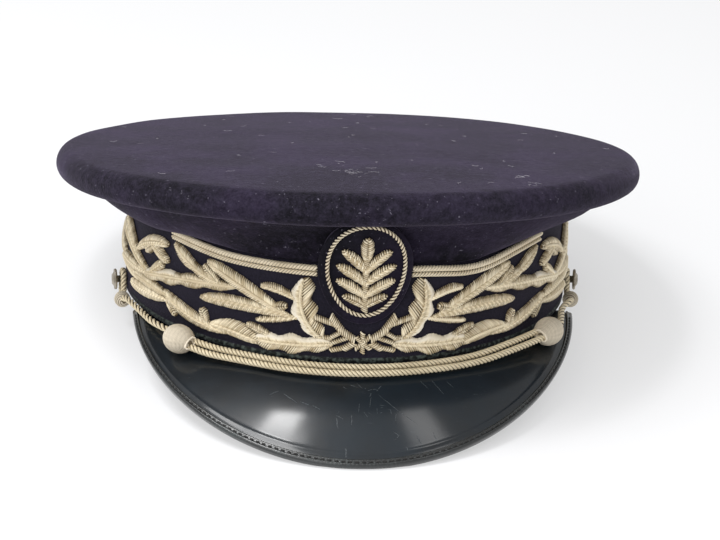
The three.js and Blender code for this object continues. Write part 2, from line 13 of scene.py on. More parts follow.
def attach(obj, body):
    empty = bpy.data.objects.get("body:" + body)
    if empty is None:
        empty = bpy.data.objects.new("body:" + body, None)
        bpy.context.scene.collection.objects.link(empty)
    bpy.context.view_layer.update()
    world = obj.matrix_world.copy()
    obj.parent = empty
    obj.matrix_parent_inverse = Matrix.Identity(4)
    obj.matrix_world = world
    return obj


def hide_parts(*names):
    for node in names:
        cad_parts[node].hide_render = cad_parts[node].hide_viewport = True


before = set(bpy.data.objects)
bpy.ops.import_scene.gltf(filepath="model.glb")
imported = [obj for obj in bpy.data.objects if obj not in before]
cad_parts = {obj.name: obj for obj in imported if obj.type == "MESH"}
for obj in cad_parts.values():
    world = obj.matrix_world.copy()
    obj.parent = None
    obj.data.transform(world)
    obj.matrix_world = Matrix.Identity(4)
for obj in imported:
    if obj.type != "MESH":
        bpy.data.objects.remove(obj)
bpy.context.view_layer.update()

# Sizes in millimetres and degrees. The cap is drawn as worn: +Z up, the peak towards -Y,
# Z = 0 at the lower edge of the band. Angles round the head start at the middle of the front.
MM = 0.001
GAP = 0.3
REST = SimpleNamespace(tilt=7.2, back=5.8161, up=12.5121, floor_clear=0.15)
BAND = SimpleNamespace(
    half_width=92.0, half_length=109.5, height=39.8, side_rise=1.0, wall=2.6, splay=2.7,
    edge=0.5, around=240,
)
SEAM = SimpleNamespace(lift=2.0, start=30.0, full=52.0, dip=2.3, dip_at=28.0, dip_spread=10.0)
RIM = SimpleNamespace(
    half_width=117.0, half_length=127.9, centre_y=-3.35, height=52.6, front_lift=15.2, roll=6.3,
    steps=22, inner_steps=12,
)
CROWN = SimpleNamespace(wall=2.0, dome=3.5, seam=-120.0, seam_gap=3.5, back_arch=4.0, around=176)
WAVES = SimpleNamespace(depth=0.35, length=34.0, shift=(7.1, 3.7, 5.3), seed=1)
FLARE = SimpleNamespace(
    up=0.9, out=0.45, badge_out=2.75, badge_spread=22.0, steps=22, crowding=1.25, probe=0.02,
)
SAG = SimpleNamespace(
    fade_from=100.0, fade_to=140.0,
    left=SimpleNamespace(depth=3.4, skew=0.6, start=40.0, full=52.0),
    right=SimpleNamespace(depth=2.2, skew=1.0, start=46.0, full=60.0),
)
# Lighter share on the crown's top piece. It is a little everywhere, which is painted light over the
# shaded flaring side. It is more round the front of the rim's roll and most at the front right, which is
# painted light and partly wear.
PAINTED_LIGHT_AND_WEAR = SimpleNamespace(flat=0.1, rim=0.05, turn=8.0, spread=50.0, place=26.0, around=18.0, more=3.0)
WELT = SimpleNamespace(height=2.2, out=0.55, end=76.0, fade=6.0, roundness=0.7)
ROPE = SimpleNamespace(
    upper=1.25, lower=1.0, upper_down=1.55, lower_down=3.95, seat=0.4, strands=3, pitch=4.0,
    left_end=51.0, right_end=52.5,
)
MOTIF_SHIFT = 1.0
PAD = SimpleNamespace(
    half_width=17.4, half_height=22.1, up=38.4, thick=3.0, lean=0.0061, edge=0.8, soft=0.9, firm=0.86,
)
RING = SimpleNamespace(half_width=13.6, half_height=19.2, up=39.9, radius=0.85, strands=2, turns=32)
RELIEF = SimpleNamespace(height=1.5, foot=0.25, rise=1.1, roundness=2.4, groove=0.42)
LEAF = SimpleNamespace(lean=1.3, fullness=0.45, lobed_fullness=0.6, lobe_depth=0.34)
STALK = SimpleNamespace(height=0.6, by_width=0.55, slant=0.55)
PEAK = SimpleNamespace(
    half_width=90.5, aside=2.4, corner_y=-28.0, reach=32.3, corner_drop=2.6, drop=26.8, fullness=0.87,
    dip=1.6, root_angle=72.0, end=85.0, thickness=2.0, bulge=0.6, root_depth=2.0, root_out=0.3,
    flange_rows=(6.0, 2.0, -0.6), steps=120,
)
PRESSED_LINE = SimpleNamespace(inward=4.2, width=0.7, height=0.12)
SEAM_LINE = SimpleNamespace(inner=-0.5, up=1.74, pitch=2.6, length=1.9, width=0.75)
CORD = SimpleNamespace(radius=1.38, strands=3, pitch=5.2, loose_pitch=12.0, per_span=12)
STRAND = SimpleNamespace(fill=0.96, step=0.42, sides=8, tone=0.7)
SLIDE = SimpleNamespace(along=7.1, across=5.7, turns=32, thread=0.33, tilt=0.16)
COLLAR = SimpleNamespace(along=6.2, long=2.8, short=1.65, turns=2, thread=0.36, pitch=1.6, steps=20)
KNOT = SimpleNamespace(along=3.9, across=3.3, turns=9, thread=0.45, tilt=0.1)
WINDING = SimpleNamespace(end=78.0, steps=18, seat=0.7, core=1.1, core_rings=13, core_sides=20, sides=6)
BUTTON = SimpleNamespace(angle=81.5, up=4.3, radius=4.4, shank=1.5, neck=2.4, head=2.3, sides=40)
THREAD = SimpleNamespace(
    pitch=0.84, radius=0.41, slant=0.8, points=6, sides=5, over=0.1, uneven=0.12, shortest=0.3,
    last=0.998, tip=0.75, tones=(0.25, 1.0),
)
SILK = SimpleNamespace(pitch=0.56, radius=0.34, slant=0.5, inner=0.42)
MIDRIB = SimpleNamespace(
    shortest=13.0, strand=0.42, coil=0.36, pitch=2.1, points_per_turn=7, end=0.94, crest=0.82, over=0.35,
)
# The padding shows only between the threads. It has no relief, so it is painted as shade, with a low
# tone.
PADDING = SimpleNamespace(leaf_inset=0.12, stalk_inset=0.15, sunk=-0.05, tone=0.12)
LAYERS = SimpleNamespace(leaf=0.05, leaves=4, stalk=0.1, stalks=3)
FIBRE = SimpleNamespace(points=7, sides=4, thinnest=0.025, thickest=0.055)
NICK = SimpleNamespace(turn=0.5, down=0.03, tilt=0.6, drop=0.02, bend=0.004)
SCRATCH_TAPER = np.array([0.3, 0.7, 1.0, 1.0, 1.0, 1.0, 0.9, 0.6, 0.3])
VIEW = SimpleNamespace(
    azimuth=-3.6, elevation=17.5, roll=1.57, distance=940.0, lens=108.04, sensor=36.0,
    centre_up=2.92, aim_right=6.9, aim_up=0.2,
)
ROOM_LIGHT = 0.72
FLOOR_HALF = 9.0

# Bright panels: where each is in metres, how it is turned, how large it is and its power in watts.
Softbox = namedtuple("Softbox", "name place turn size power")
SOFTBOXES = [
    Softbox("window", (-0.46, -0.19, 1.0), (0.0, 0.0, -35.0), (0.52, 0.4), 7.2),
    Softbox("bright pane", (-0.255, -0.11, 1.0), (0.0, 0.0, -35.0), (0.13, 0.16), 2.0),
    Softbox("far pane", (0.31, -0.11, 1.0), (0.0, 0.0, 20.0), (0.14, 0.12), 0.25),
    Softbox("front softbox", (-0.7, -1.1, 0.7), (62.0, 0.0, -32.0), (1.1, 0.8), 7.0),
]

# Leaves of one garland: from the stalk to the tip, along the band from the middle of the front and
# up from its lower edge. The midrib bows to its left, and each half has its own width. Pale silk fills
# one half of some leaves, 1 for the left and -1 for the right, from a share of the leaf's length on.
Leaf = namedtuple(
    "Leaf", "from_along from_up to_along to_up bow left right lobes pale pale_from", defaults=(0, 0.0)
)
GARLAND_LEAVES = [
    Leaf(16, 9.8, 22.8, 33.7, -4.2, 6, 4.8, 3, -1),
    Leaf(11.5, 7.8, 43.5, 6.4, -0.8, 4.3, 4.2, 3, 1),
    Leaf(35.5, 8.6, 46.5, 12, 0, 1.5, 1.4, 0),
    Leaf(64, 8, 40.5, 5, -1, 2.2, 4.6, 0),
    Leaf(66, 7.6, 68.8, 13.6, 0, 2, 2, 0),
    Leaf(56, 6, 93.5, 14, -1.6, 3, 2.6, 0),
    Leaf(91, 12.3, 84, 6.2, 0, 1.9, 2, 0),
    Leaf(89, 12.8, 122, 13.4, 0.6, 2.4, 2, 0),
    Leaf(91, 10.6, 128, 8.2, 0, 2.8, 2.8, 0),
    Leaf(25, 17.4, 42.5, 14.3, 0, 1.3, 1.3, 0),
    Leaf(27, 17.4, 69.7, 17.8, 1.6, 2.8, 2.6, 0),
    Leaf(30, 17.9, 66.2, 33.4, 0.6, 3.6, 2.4, 0),
    Leaf(25.5, 24.4, 41, 28.2, 1, 2.2, 1, 0),
    Leaf(35.8, 20.4, 29.5, 21.8, 0, 1.6, 1.6, 0),
    Leaf(52, 25.6, 112, 16.5, 1.2, 2.8, 3.6, 4, 1, 0.55),
    Leaf(58.5, 25.2, 86, 36, -1.5, 3, 3.2, 2),
    Leaf(58.5, 24.8, 68, 31.5, 0, 1.8, 1.8, 0),
    Leaf(121, 23.6, 90.5, 34, -2, 2, 3, 0),
    Leaf(105, 32, 90, 27, 0.5, 2.2, 2.4, 0),
    Leaf(101, 31.6, 109.5, 26.6, 0, 2, 2, 0),
    Leaf(105, 18.4, 94, 25.4, 0, 2.3, 2.3, 0),
    Leaf(105, 17.6, 147, 14.8, 0, 2.4, 2.2, 0),
    Leaf(105, 17.6, 150, 29, 0, 2.8, 2.4, 0),
    Leaf(117, 21, 140, 34, 0, 2.6, 2.2, 0),
    Leaf(116, 12, 150, 14, 0.4, 2.8, 2.4, 0),
    Leaf(141, 15.2, 172, 21.5, 0, 2.8, 2.6, 0),
]

# Stalks of one garland and the knot that ties the two, as straight stitched bars.
Stalk = namedtuple("Stalk", "from_along from_up to_along to_up half")
GARLAND_STALKS = [
    Stalk(3.4, 8.2, 7.2, 5.9, 1.2),
    Stalk(6, 6.6, 12, 5.2, 0.8),
    Stalk(3.4, 9.8, 9.2, 13.8, 1.3),
    Stalk(8.2, 13.2, 12.4, 18.6, 1.35),
    Stalk(9.5, 15.4, 19, 18.4, 1),
    Stalk(8.2, 12.8, 13, 9.9, 0.7),
    Stalk(12.4, 10, 18.5, 10.4, 0.7),
    Stalk(5.5, 10.6, 13.5, 7.5, 0.7),
]
KNOT_STALKS = [
    Stalk(0, 4.6, 0, 12.3, 0.8),
    Stalk(-2.6, 6.2, 2.6, 10.8, 0.8),
    Stalk(-2.6, 10.8, 2.6, 6.2, 0.8),
]

# The sprig in the badge, on the same measures: one leaf at the top and pairs down the stalk.
SPRIG_PAIRS = [
    Leaf(-0.6, 38.2, 8.2, 48.4, 0.6, 1.9, 1.9, 0),
    Leaf(-0.6, 33.2, 10.2, 42, 0.6, 1.9, 1.9, 0),
    Leaf(-0.6, 28.2, 10.4, 35.6, 0.6, 1.9, 1.9, 0),
    Leaf(-0.6, 24, 8, 28.8, 0.6, 1.7, 1.7, 0),
]
SPRIG_TOP = Leaf(0, 43, 0, 54, 0, 2.1, 2.1, 0)
SPRIG_STALK = Stalk(0, 22.6, 0, 46, 1.1)

# The run of each half of the chin cord, from its loop on its own button to the slide on the far side:
# angle round the head towards its own button, distance out from the band and height.
LOOPS = {
    "left": SimpleNamespace(side=-1, stand=1.8, knot_out=0.8, drop=0.6),
    "right": SimpleNamespace(side=1, stand=1.8, knot_out=1.6, drop=-0.9),
}
BUTTON_LOOP = [
    (80.7, 0, -3.4), (82.7, 0, 0.2), (83.4, 0, 4.2), (82.6, 0, 7.1),
    (81.4, 0, 7.9), (80.3, 0, 7.1), (79.6, 0, 4.2), (78.7, 0, 0.6),
]
KNOT_PLACE = SimpleNamespace(angle=77.6, up=-2.2)
CORD_RUNS = {
    "left": [
        (74.5, 2.6, -0.3), (70, 2.2, 0.5), (62, 2.6, 0.4), (55, 4.8, 1), (43.4, 7.35, 2.05),
        (36, 4.4, 0.1), (27, 2.3, -0.5), (14, 2.4, -0.7), (0, 2.6, -0.8), (-14, 2.6, -0.75),
        (-28, 3.3, -0.4), (-39, 5.2, 1.7), (-50.5, 7.35, 2.95),
    ],
    "right": [
        (74, 3.6, 0.1), (70, 2.6, 0.5), (67, 2.6, 0.7), (61, 5.4, 0.9), (55.5, 8.8, 1),
        (50.5, 9.9, 1), (39, 7.7, -0.3), (28, 5.9, -2.2), (14, 5.2, -2.4), (0, 5.2, -2.5),
        (-14, 5.1, -2.4), (-27, 5, -2.2), (-36, 7, -1.9), (-39.6, 8.6, -0.8), (-43.4, 9.9, 0.15),
    ],
}
SLIDES = {
    "slide_left": SimpleNamespace(angle=-43.4, out=8.6, up=1.1, lean=-37.0, mouth=1),
    "slide_right": SimpleNamespace(angle=50.5, out=8.6, up=1.6, lean=-37.0, mouth=-1),
}

# Across the bound edge of the peak: outwards from the leather's edge and up from its middle.
BINDING = [
    (-1.75, 1.08), (-1.8, 1.42), (-1.62, 1.74), (-1.3, 1.84), (-0.95, 1.74), (-0.5, 1.66),
    (-0.05, 1.74), (0.35, 1.84), (0.8, 1.74), (1.12, 1.45), (1.32, 1.0), (1.38, 0.4),
    (1.38, -0.4), (1.32, -1.0), (1.12, -1.45), (0.8, -1.74), (0.0, -1.84), (-1.0, -1.84),
    (-1.62, -1.74), (-1.8, -1.42), (-1.75, -1.08), (0.6, -1.08), (0.6, 1.08),
]

# Marks on the peak: rows of short nicks, or single scratches where there are none. Each runs from one
# place to another, both given as a turn round the peak in degrees and a share of the way down it.
Mark = namedtuple("Mark", "from_turn from_down to_turn to_down width nicks")
PEAK_MARKS = [
    Mark(-4, 0.25, 6, 0.27, 0.12, 7),
    Mark(-0.5, 0.5, 8, 0.5, 0.12, 7),
    Mark(-7, 0.5, -5, 0.5, 0.12, 2),
    Mark(7.5, 0.77, 11, 0.78, 0.12, 3),
    Mark(-25.5, 0.45, -23, 0.38, 0.16, 0),
    Mark(-21.5, 0.4, -17.5, 0.47, 0.2, 0),
    Mark(-16.5, 0.45, -14, 0.47, 0.18, 0),
    Mark(-13, 0.47, -11, 0.5, 0.2, 0),
    Mark(-6.5, 0.57, -6, 0.67, 0.26, 0),
    Mark(-2.5, 0.53, -2.5, 0.63, 0.16, 0),
    Mark(9.5, 0.53, 9, 0.63, 0.16, 0),
    Mark(-4, 0.85, -4, 0.95, 0.22, 0),
    Mark(3, 0.35, 2.5, 0.45, 0.12, 0),
    Mark(5, 0.32, 15, 0.67, 0.07, 0),
    Mark(14, 0.78, 15, 0.87, 0.14, 0),
    Mark(18.5, 0.78, 19, 0.88, 0.1, 0),
    Mark(11, 0.87, 11.5, 0.92, 0.14, 0),
    Mark(18, 0.22, 20, 0.33, 0.08, 0),
    Mark(21.5, 0.23, 24, 0.42, 0.08, 0),
    Mark(26, 0.28, 27.5, 0.38, 0.08, 0),
]

# Tufts of lint on the crown: place, number of fibres and how far they spread. Strays lie between them.
Tuft = namedtuple("Tuft", "x y fibres spread")
LINT_TUFTS = [
    Tuft(-5, -92, 14, 2.6),
    Tuft(62, -92, 7, 1.4),
    Tuft(65, -106, 4, 1.5),
    Tuft(-11, -73, 4, 4.0),
]
STRAY_FIBRES = 46


# Node trees


class Wire:
    """One output of a node. Python's operators on it add Math nodes to its tree."""

    def __init__(self, tree, socket):
        self.tree = tree
        self.socket = socket

    def maths(self, operation, *values):
        return self.tree.node("ShaderNodeMath", {"operation": operation}, dict(enumerate(values)))

    def other(self, name):
        return Wire(self.tree, self.tree.pick(self.socket.node.outputs, name))

    def __add__(self, value):
        return self.maths("ADD", self, value)

    def __radd__(self, value):
        return self.maths("ADD", value, self)

    def __sub__(self, value):
        return self.maths("SUBTRACT", self, value)

    def __rsub__(self, value):
        return self.maths("SUBTRACT", value, self)

    def __mul__(self, value):
        return self.maths("MULTIPLY", self, value)

    def __rmul__(self, value):
        return self.maths("MULTIPLY", value, self)

    def __truediv__(self, value):
        return self.maths("DIVIDE", self, value)

    def __rtruediv__(self, value):
        return self.maths("DIVIDE", value, self)

    def __gt__(self, value):
        return self.maths("GREATER_THAN", self, value)


class Tree:
    """A node tree that is written as expressions."""

    def __init__(self, tree):
        self.tree = tree

    @staticmethod
    def pick(sockets, key):
        if isinstance(key, int):
            return sockets[key]
        return next(socket for socket in sockets if socket.name == key and socket.enabled)

    def node(self, kind, settings=None, sockets=None, output=0):
        node = self.tree.nodes.new(kind)
        for name, value in (settings or {}).items():
            setattr(node, name, value)
        for key, value in (sockets or {}).items():
            socket = self.pick(node.inputs, key)
            if isinstance(value, list):
                for wire in value:
                    self.tree.links.new(wire.socket, socket)
            elif isinstance(value, Wire):
                self.tree.links.new(value.socket, socket)
            else:
                socket.default_value = value
        return Wire(self, self.pick(node.outputs, output)) if node.outputs else None


# Finishes


def srgb(red, green, blue):
    """A colour from its screen values, 0 to 255."""
    parts = [part / 255 for part in (red, green, blue)]
    return (*[p / 12.92 if p <= 0.04045 else ((p + 0.055) / 1.055) ** 2.4 for p in parts], 1.0)


class Finish(Tree):
    """A procedural material on one shader, patterned in the cap's own coordinates."""

    def __init__(self, name, **fixed):
        self.material = bpy.data.materials.new(name)
        self.material.use_nodes = True
        super().__init__(self.material.node_tree)
        self.tree.nodes.clear()
        self.shader = self.node("ShaderNodeBsdfPrincipled", sockets=fixed_sockets(fixed))
        self.node("ShaderNodeOutputMaterial", sockets={"Surface": self.shader})
        self.place = self.node("ShaderNodeTexCoord", output="Object")

    def noise(self, scale, detail=2.0, roughness=0.5, place=None):
        grain = {"Scale": scale, "Detail": detail, "Roughness": roughness}
        return self.node("ShaderNodeTexNoise", sockets={"Vector": place or self.place, **grain})

    def stretched(self, scale, turn=(0.0, 0.0, 0.0)):
        sockets = {"Vector": self.place, "Scale": scale, "Rotation": turn}
        return self.node("ShaderNodeMapping", sockets=sockets)

    def attribute(self, name):
        return self.node("ShaderNodeAttribute", {"attribute_name": name}, output="Fac")

    def between(self, value, low, high):
        """A value mapped from low to high onto 0 to 1, with soft ends."""
        sockets = {"Value": value, "From Min": low, "From Max": high}
        return self.node("ShaderNodeMapRange", {"interpolation_type": "SMOOTHSTEP"}, sockets)

    def blend(self, share, first, second):
        return self.node(
            "ShaderNodeMix", {"data_type": "RGBA"}, {"Factor": share, "A": first, "B": second}, "Result"
        )

    def bump(self, height, strength, distance):
        sockets = {"Height": height, "Strength": strength, "Distance": distance}
        return self.node("ShaderNodeBump", sockets=sockets)

    def feed(self, **sockets):
        for name, value in fixed_sockets(sockets).items():
            self.tree.links.new(value.socket, self.shader.socket.node.inputs[name])
        return self.material


def fixed_sockets(values):
    """Shader sockets from plain names, such as base_color for Base Color."""
    return {name.replace("_", " ").title().replace("Ior", "IOR"): value for name, value in values.items()}


def wool_finish(name, deep, worn, sheen, nap_depth):
    """Felted wool: a dark ground, a pale bloom where it is seen aslant, specks of dust, and painted light
    where the piece carries a lighter share, partly wear along the rim.
    """
    finish = Finish(
        name, specular_ior_level=0.1, sheen_weight=sheen, sheen_roughness=0.34,
        sheen_tint=srgb(204, 190, 228),
    )
    patches = finish.noise(24.0, 4.0, 0.6)
    fibres = finish.noise(1300.0, 3.0, 0.65)
    fluff = finish.noise(330.0, 4.0, 0.7)
    dust = finish.between(finish.noise(620.0, 2.0, 0.6), 0.66, 0.79)
    # Painted light: the crown's top piece is lighter than its flaring side, most round the rim's roll,
    # where it is partly wear.
    rubbed = finish.attribute("rubbed")
    shade = patches * 0.4 + fibres * 0.4 + fluff * 0.6 + rubbed * 0.5 - 0.3
    ground = finish.blend(finish.between(shade, 0.25, 0.85), deep, worn)
    plum = finish.blend(finish.between(patches, 0.42, 0.62) * 0.2, ground, srgb(50, 38, 64))
    colour = finish.blend(dust * 0.45, plum, srgb(150, 146, 162))
    bump = finish.bump(fibres * 0.5 + fluff * 0.5, nap_depth, 0.0007)
    return finish.feed(base_color=colour, roughness=0.85 + patches * 0.15, normal=bump)


def band_finish():
    """Wool with a dark ribbed welt along the lower edge of the front."""
    finish = Finish(
        "band wool and welt", specular_ior_level=0.18, sheen_weight=0.12, sheen_roughness=0.34,
        sheen_tint=srgb(204, 190, 228),
    )
    patches = finish.noise(30.0, 3.0, 0.6)
    fibres = finish.noise(1300.0, 3.0, 0.65)
    welt = finish.attribute("welt")
    ribs = finish.noise(620.0, 3.0, 0.6)
    wool = finish.blend(
        finish.between(patches * 0.4 + fibres * 0.6, 0.25, 0.8), srgb(18, 16, 24), srgb(38, 35, 48)
    )
    hide = finish.blend(finish.between(ribs, 0.4, 0.68), srgb(12, 16, 15), srgb(72, 80, 76))
    bump = finish.bump(fibres * (1 - welt) + ribs * welt, 0.6, 0.0006)
    return finish.feed(
        base_color=finish.blend(welt, wool, hide), roughness=0.92 - welt * 0.35, normal=bump
    )


def thread_finish(name, groove, tarnish, bright, roughness, metallic, deep, full):
    """Metal thread with painted shade where its relief is low, in the grooves between strands and on the
    padding, and matt pale silk where the piece says so.
    """
    finish = Finish(name)
    tone, pale, relief = (finish.attribute(key) for key in ("tone", "pale", "relief"))
    stains = finish.noise(90.0, 3.0, 0.6)
    specks = finish.noise(1800.0, 2.0, 0.6)
    shade = finish.between(tone * 0.5 + stains * 0.45 + specks * 0.25, 0.3, 0.95)
    silk = finish.blend(finish.between(stains, 0.35, 0.7), srgb(224, 213, 190), srgb(248, 240, 224))
    strand = finish.blend(pale, finish.blend(shade, tarnish, bright), silk)
    # Painted shade: where the relief is low, the colour turns to the groove colour.
    colour = finish.blend(finish.between(relief + pale * 0.3, deep, full), groove, strand)
    return finish.feed(
        base_color=colour,
        metallic=metallic - pale * metallic,
        roughness=roughness + stains * 0.18 + pale * 0.15,
        normal=finish.bump(specks, 0.25, 0.0003),
    )


def patent_finish():
    """Black patent leather, uneven and dulled in patches, with fine scuffs."""
    finish = Finish("patent leather", coat_roughness=0.13, coat_ior=1.5, specular_ior_level=0.2)
    patches = finish.noise(26.0, 4.0, 0.6)
    dents = finish.noise(85.0, 3.0, 0.55)
    grain = finish.noise(1100.0, 2.0, 0.5)
    streaks = finish.noise(900.0, 3.0, 0.7, finish.stretched((0.12, 1.0, 1.0), (0.3, 0.2, 0.5)))
    scuffs = finish.between(streaks, 0.66, 0.8)
    ground = finish.blend(finish.between(patches, 0.35, 0.7), srgb(5, 11, 16), srgb(17, 27, 35))
    worn = finish.blend(scuffs * 0.35, ground, srgb(104, 110, 112))
    return finish.feed(
        base_color=worn,
        roughness=0.34 + patches * 0.24,
        coat_weight=1.0 - patches * 0.7,
        normal=finish.bump(grain * 0.1 + patches * 0.9 + dents * 0.6, 0.3, 0.0009),
    )


def binding_finish():
    finish = Finish("bound leather edge", coat_roughness=0.16)
    patches = finish.noise(60.0, 4.0, 0.6)
    grain = finish.noise(1300.0, 2.0, 0.5)
    # Paler, rougher and less glossy where the edge is rubbed.
    rubbed = finish.between(patches * 0.6 + grain * 0.4, 0.46, 0.68)
    colour = finish.blend(rubbed, srgb(12, 16, 17), srgb(50, 57, 57))
    return finish.feed(
        base_color=colour,
        roughness=0.34 + rubbed * 0.2,
        coat_weight=0.55 - rubbed * 0.3,
        normal=finish.bump(grain, 0.35, 0.0004),
    )


def button_finish():
    finish = Finish("tarnished button", metallic=0.8)
    stains = finish.noise(300.0, 4.0, 0.6)
    specks = finish.noise(1500.0, 2.0, 0.5)
    colour = finish.blend(finish.between(stains, 0.3, 0.7), srgb(120, 112, 98), srgb(190, 182, 168))
    return finish.feed(
        base_color=colour, roughness=0.36 + stains * 0.25, normal=finish.bump(specks, 0.2, 0.0003)
    )


def plain_fibre_finish(name, deep, light):
    finish = Finish(name, roughness=0.9)
    fibres = finish.noise(1900.0, 2.0, 0.6)
    return finish.feed(base_color=finish.blend(finish.between(fibres, 0.3, 0.7), deep, light))


def floor_finish():
    """A white sheet that glows a little, as in an evenly lit studio."""
    finish = Finish(
        "pale floor", specular_ior_level=0.05, emission_color=(1.0, 1.0, 1.0, 1.0), emission_strength=0.52
    )
    clouds = finish.noise(1.4, 2.0, 0.5)
    colour = finish.blend(clouds, srgb(160, 161, 163), srgb(168, 168, 170))
    return finish.feed(base_color=colour, roughness=0.85 + clouds * 0.1)


CROWN_WOOL = wool_finish("crown wool", srgb(13, 12, 17), srgb(56, 51, 67), 0.17, 0.6)
BAND_WOOL = band_finish()
BADGE_WOOL = wool_finish("badge wool", srgb(17, 16, 22), srgb(38, 36, 47), 0.15, 0.45)
# Thread finishes: painted groove shade, tarnish, bright, roughness, metallic, and the relief over which
# the painted shade gives way to the thread.
BULLION = thread_finish(
    "gold bullion", srgb(116, 97, 68), srgb(192, 172, 134), srgb(252, 240, 212), 0.42, 0.2, 0.3, 0.85
)
ROPE_GOLD = thread_finish(
    "gold rope", srgb(88, 70, 48), srgb(182, 163, 130), srgb(240, 228, 202), 0.42, 0.2, 0.1, 0.75
)
CORD_GOLD = thread_finish(
    "gold chin cord", srgb(82, 66, 44), srgb(182, 164, 130), srgb(236, 223, 192), 0.42, 0.2, 0.1, 0.75
)
PALE_THREAD = thread_finish(
    "pale wound thread", srgb(112, 100, 78), srgb(192, 180, 158), srgb(230, 219, 199), 0.6, 0.0, 0.2, 0.9
)
PATENT = patent_finish()
BOUND_EDGE = binding_finish()
BUTTON_METAL = button_finish()
STITCH_THREAD = plain_fibre_finish("dark stitch thread", srgb(16, 16, 17), srgb(48, 47, 46))
LINT = plain_fibre_finish("pale lint", srgb(128, 125, 134), srgb(196, 193, 200))
WORN_MARKS = plain_fibre_finish("worn marks in leather", srgb(26, 31, 35), srgb(96, 102, 106))
FLOOR = floor_finish()


# Surfaces of the cap


def points_of(*parts):
    return np.stack(np.broadcast_arrays(*[np.asarray(part, float) for part in parts]), axis=-1)


def to_frame(points):
    """Points on the cap as worn, in millimetres, to the resting frame in metres."""
    points = np.asarray(points, float)
    turn = math.radians(REST.tilt)
    y = points[..., 1] * math.cos(turn) + points[..., 2] * math.sin(turn) + REST.back
    z = points[..., 2] * math.cos(turn) - points[..., 1] * math.sin(turn) + REST.up
    return points_of(points[..., 0], y, z) * MM


def band_point(phi, out, up):
    """A point off the band's outer face, which spreads at the sides towards its lower edge."""
    spread = BAND.splay * np.sin(phi) ** 4 * np.maximum(0.0, 1 - up / band_height(phi))
    nx = np.sin(phi) / BAND.half_width
    ny = -np.cos(phi) / BAND.half_length
    scale = (out + spread) / np.hypot(nx, ny)
    x = BAND.half_width * np.sin(phi) + nx * scale
    y = -BAND.half_length * np.cos(phi) + ny * scale
    return points_of(x, y, up)


ARC_ANGLES = np.linspace(0.0, math.pi, 3001)
ARC_SLOPES = np.hypot(BAND.half_width * np.cos(ARC_ANGLES), BAND.half_length * np.sin(ARC_ANGLES))
ARC_LENGTHS = np.concatenate([[0.0], np.cumsum((ARC_SLOPES[1:] + ARC_SLOPES[:-1]) / 2) * ARC_ANGLES[1]])


def angle_along(along):
    """The angle round the head at a distance along the band."""
    return np.sign(along) * np.interp(np.abs(along), ARC_LENGTHS, ARC_ANGLES)


def turn_of(phi):
    """An angle round the head in degrees, less than nothing on the left."""
    return np.degrees(np.arctan2(np.sin(phi), np.cos(phi)))


def band_height(phi):
    """Height of the seam over the band, which climbs to both sides and dips beside the front."""
    turn = turn_of(phi)
    away = np.abs(turn)
    lift = SEAM.lift * eased(away, SEAM.start, SEAM.full) * (1 - eased(away, SAG.fade_from, SAG.fade_to))
    dip = SEAM.dip * np.exp(-(((turn - SEAM.dip_at) / SEAM.dip_spread) ** 2))
    return BAND.height + BAND.side_rise * np.sin(phi) ** 2 + lift - dip


def crown_section(phi):
    """Upright planes through the crown: their feet on the band and the centre of the rim's roll."""
    foot = band_point(phi, 0.0, band_height(phi)) * (1.0, 1.0, 0.0)
    rim = points_of(RIM.half_width * np.sin(phi), RIM.centre_y - RIM.half_length * np.cos(phi), 0.0)
    reach = np.linalg.norm(rim - foot, axis=-1)
    outward = (rim - foot) / reach[..., None]
    up = RIM.height + RIM.front_lift * np.cos(phi)
    return SimpleNamespace(phi=phi, foot=foot, outward=outward, reach=reach, up=up)


def in_section(section, out, up):
    point = section.foot + section.outward * np.asarray(out)[..., None]
    return points_of(point[..., 0], point[..., 1], up)


def on_roll(section, radius, degrees):
    angle = math.radians(degrees)
    return section.reach + radius * math.cos(angle), section.up + radius * math.sin(angle)


def eased(value, low, high):
    """0 below low and 1 above high, with soft ends."""
    share = np.clip((value - low) / (high - low), 0.0, 1.0)
    return share * share * (3 - 2 * share)


def sag_at(turn, t):
    """How far the cloth at each side hangs below its plain flare."""
    away = np.abs(turn)
    sag = 0.0
    for side, hang in ((-1, SAG.left), (1, SAG.right)):
        share = eased(away, hang.start, hang.full) * (turn * side > 0)
        sag = sag + hang.depth * share * math.sin(math.pi * t**hang.skew)
    return sag * (1 - eased(away, SAG.fade_from, SAG.fade_to))


def flare_at(section, t):
    """Distance out and height of the flaring side, t from the band to the seam."""
    foot = band_height(section.phi) + GAP
    seam_out, seam_up = on_roll(section, RIM.roll, CROWN.seam - CROWN.seam_gap)
    turn = turn_of(section.phi)
    power = FLARE.out + FLARE.badge_out * np.exp(-((turn / FLARE.badge_spread) ** 2))
    arch = CROWN.back_arch * (1 - np.cos(section.phi)) / 2
    up = foot + (seam_up - foot) * t**FLARE.up + arch * math.sin(math.pi * t)
    return seam_out * t**power, up - sag_at(turn, t)


def front_out(phi, up):
    """How far the cloth at the front stands out from the band's face at a height."""
    section = crown_section(np.array([phi]))
    outs, ups = np.array([flare_at(section, t) for t in np.linspace(0, 1, 41)])[..., 0].T
    return float(np.interp(up, ups, outs, left=0.0))


def on_band(along, up, out):
    return band_point(angle_along(along + MOTIF_SHIFT), out, up)


def on_badge(along, up, out):
    """A point off the front of the badge, which leans out with the crown behind it."""
    rise = up - (PAD.up - PAD.half_height)
    rounding = np.hypot(along / PAD.half_width, (up - PAD.up) / PAD.half_height)
    front = PAD.thick + PAD.lean * rise**2 - PAD.edge * rounding**4
    slope = np.hypot(1, 2 * PAD.lean * rise)
    return band_point(angle_along(along + MOTIF_SHIFT), front + out * slope, up)


def soft_waves(points, keep):
    """Moves cloth by slow uneven waves, less where keep is small."""
    noise.seed_set(WAVES.seed)
    shift = Vector(WAVES.shift)
    moved = [noise.noise_vector(Vector(point) / WAVES.length + shift) for point in points.reshape(-1, 3)]
    return points + np.array(moved).reshape(points.shape) * WAVES.depth * keep[..., None]


# Meshes


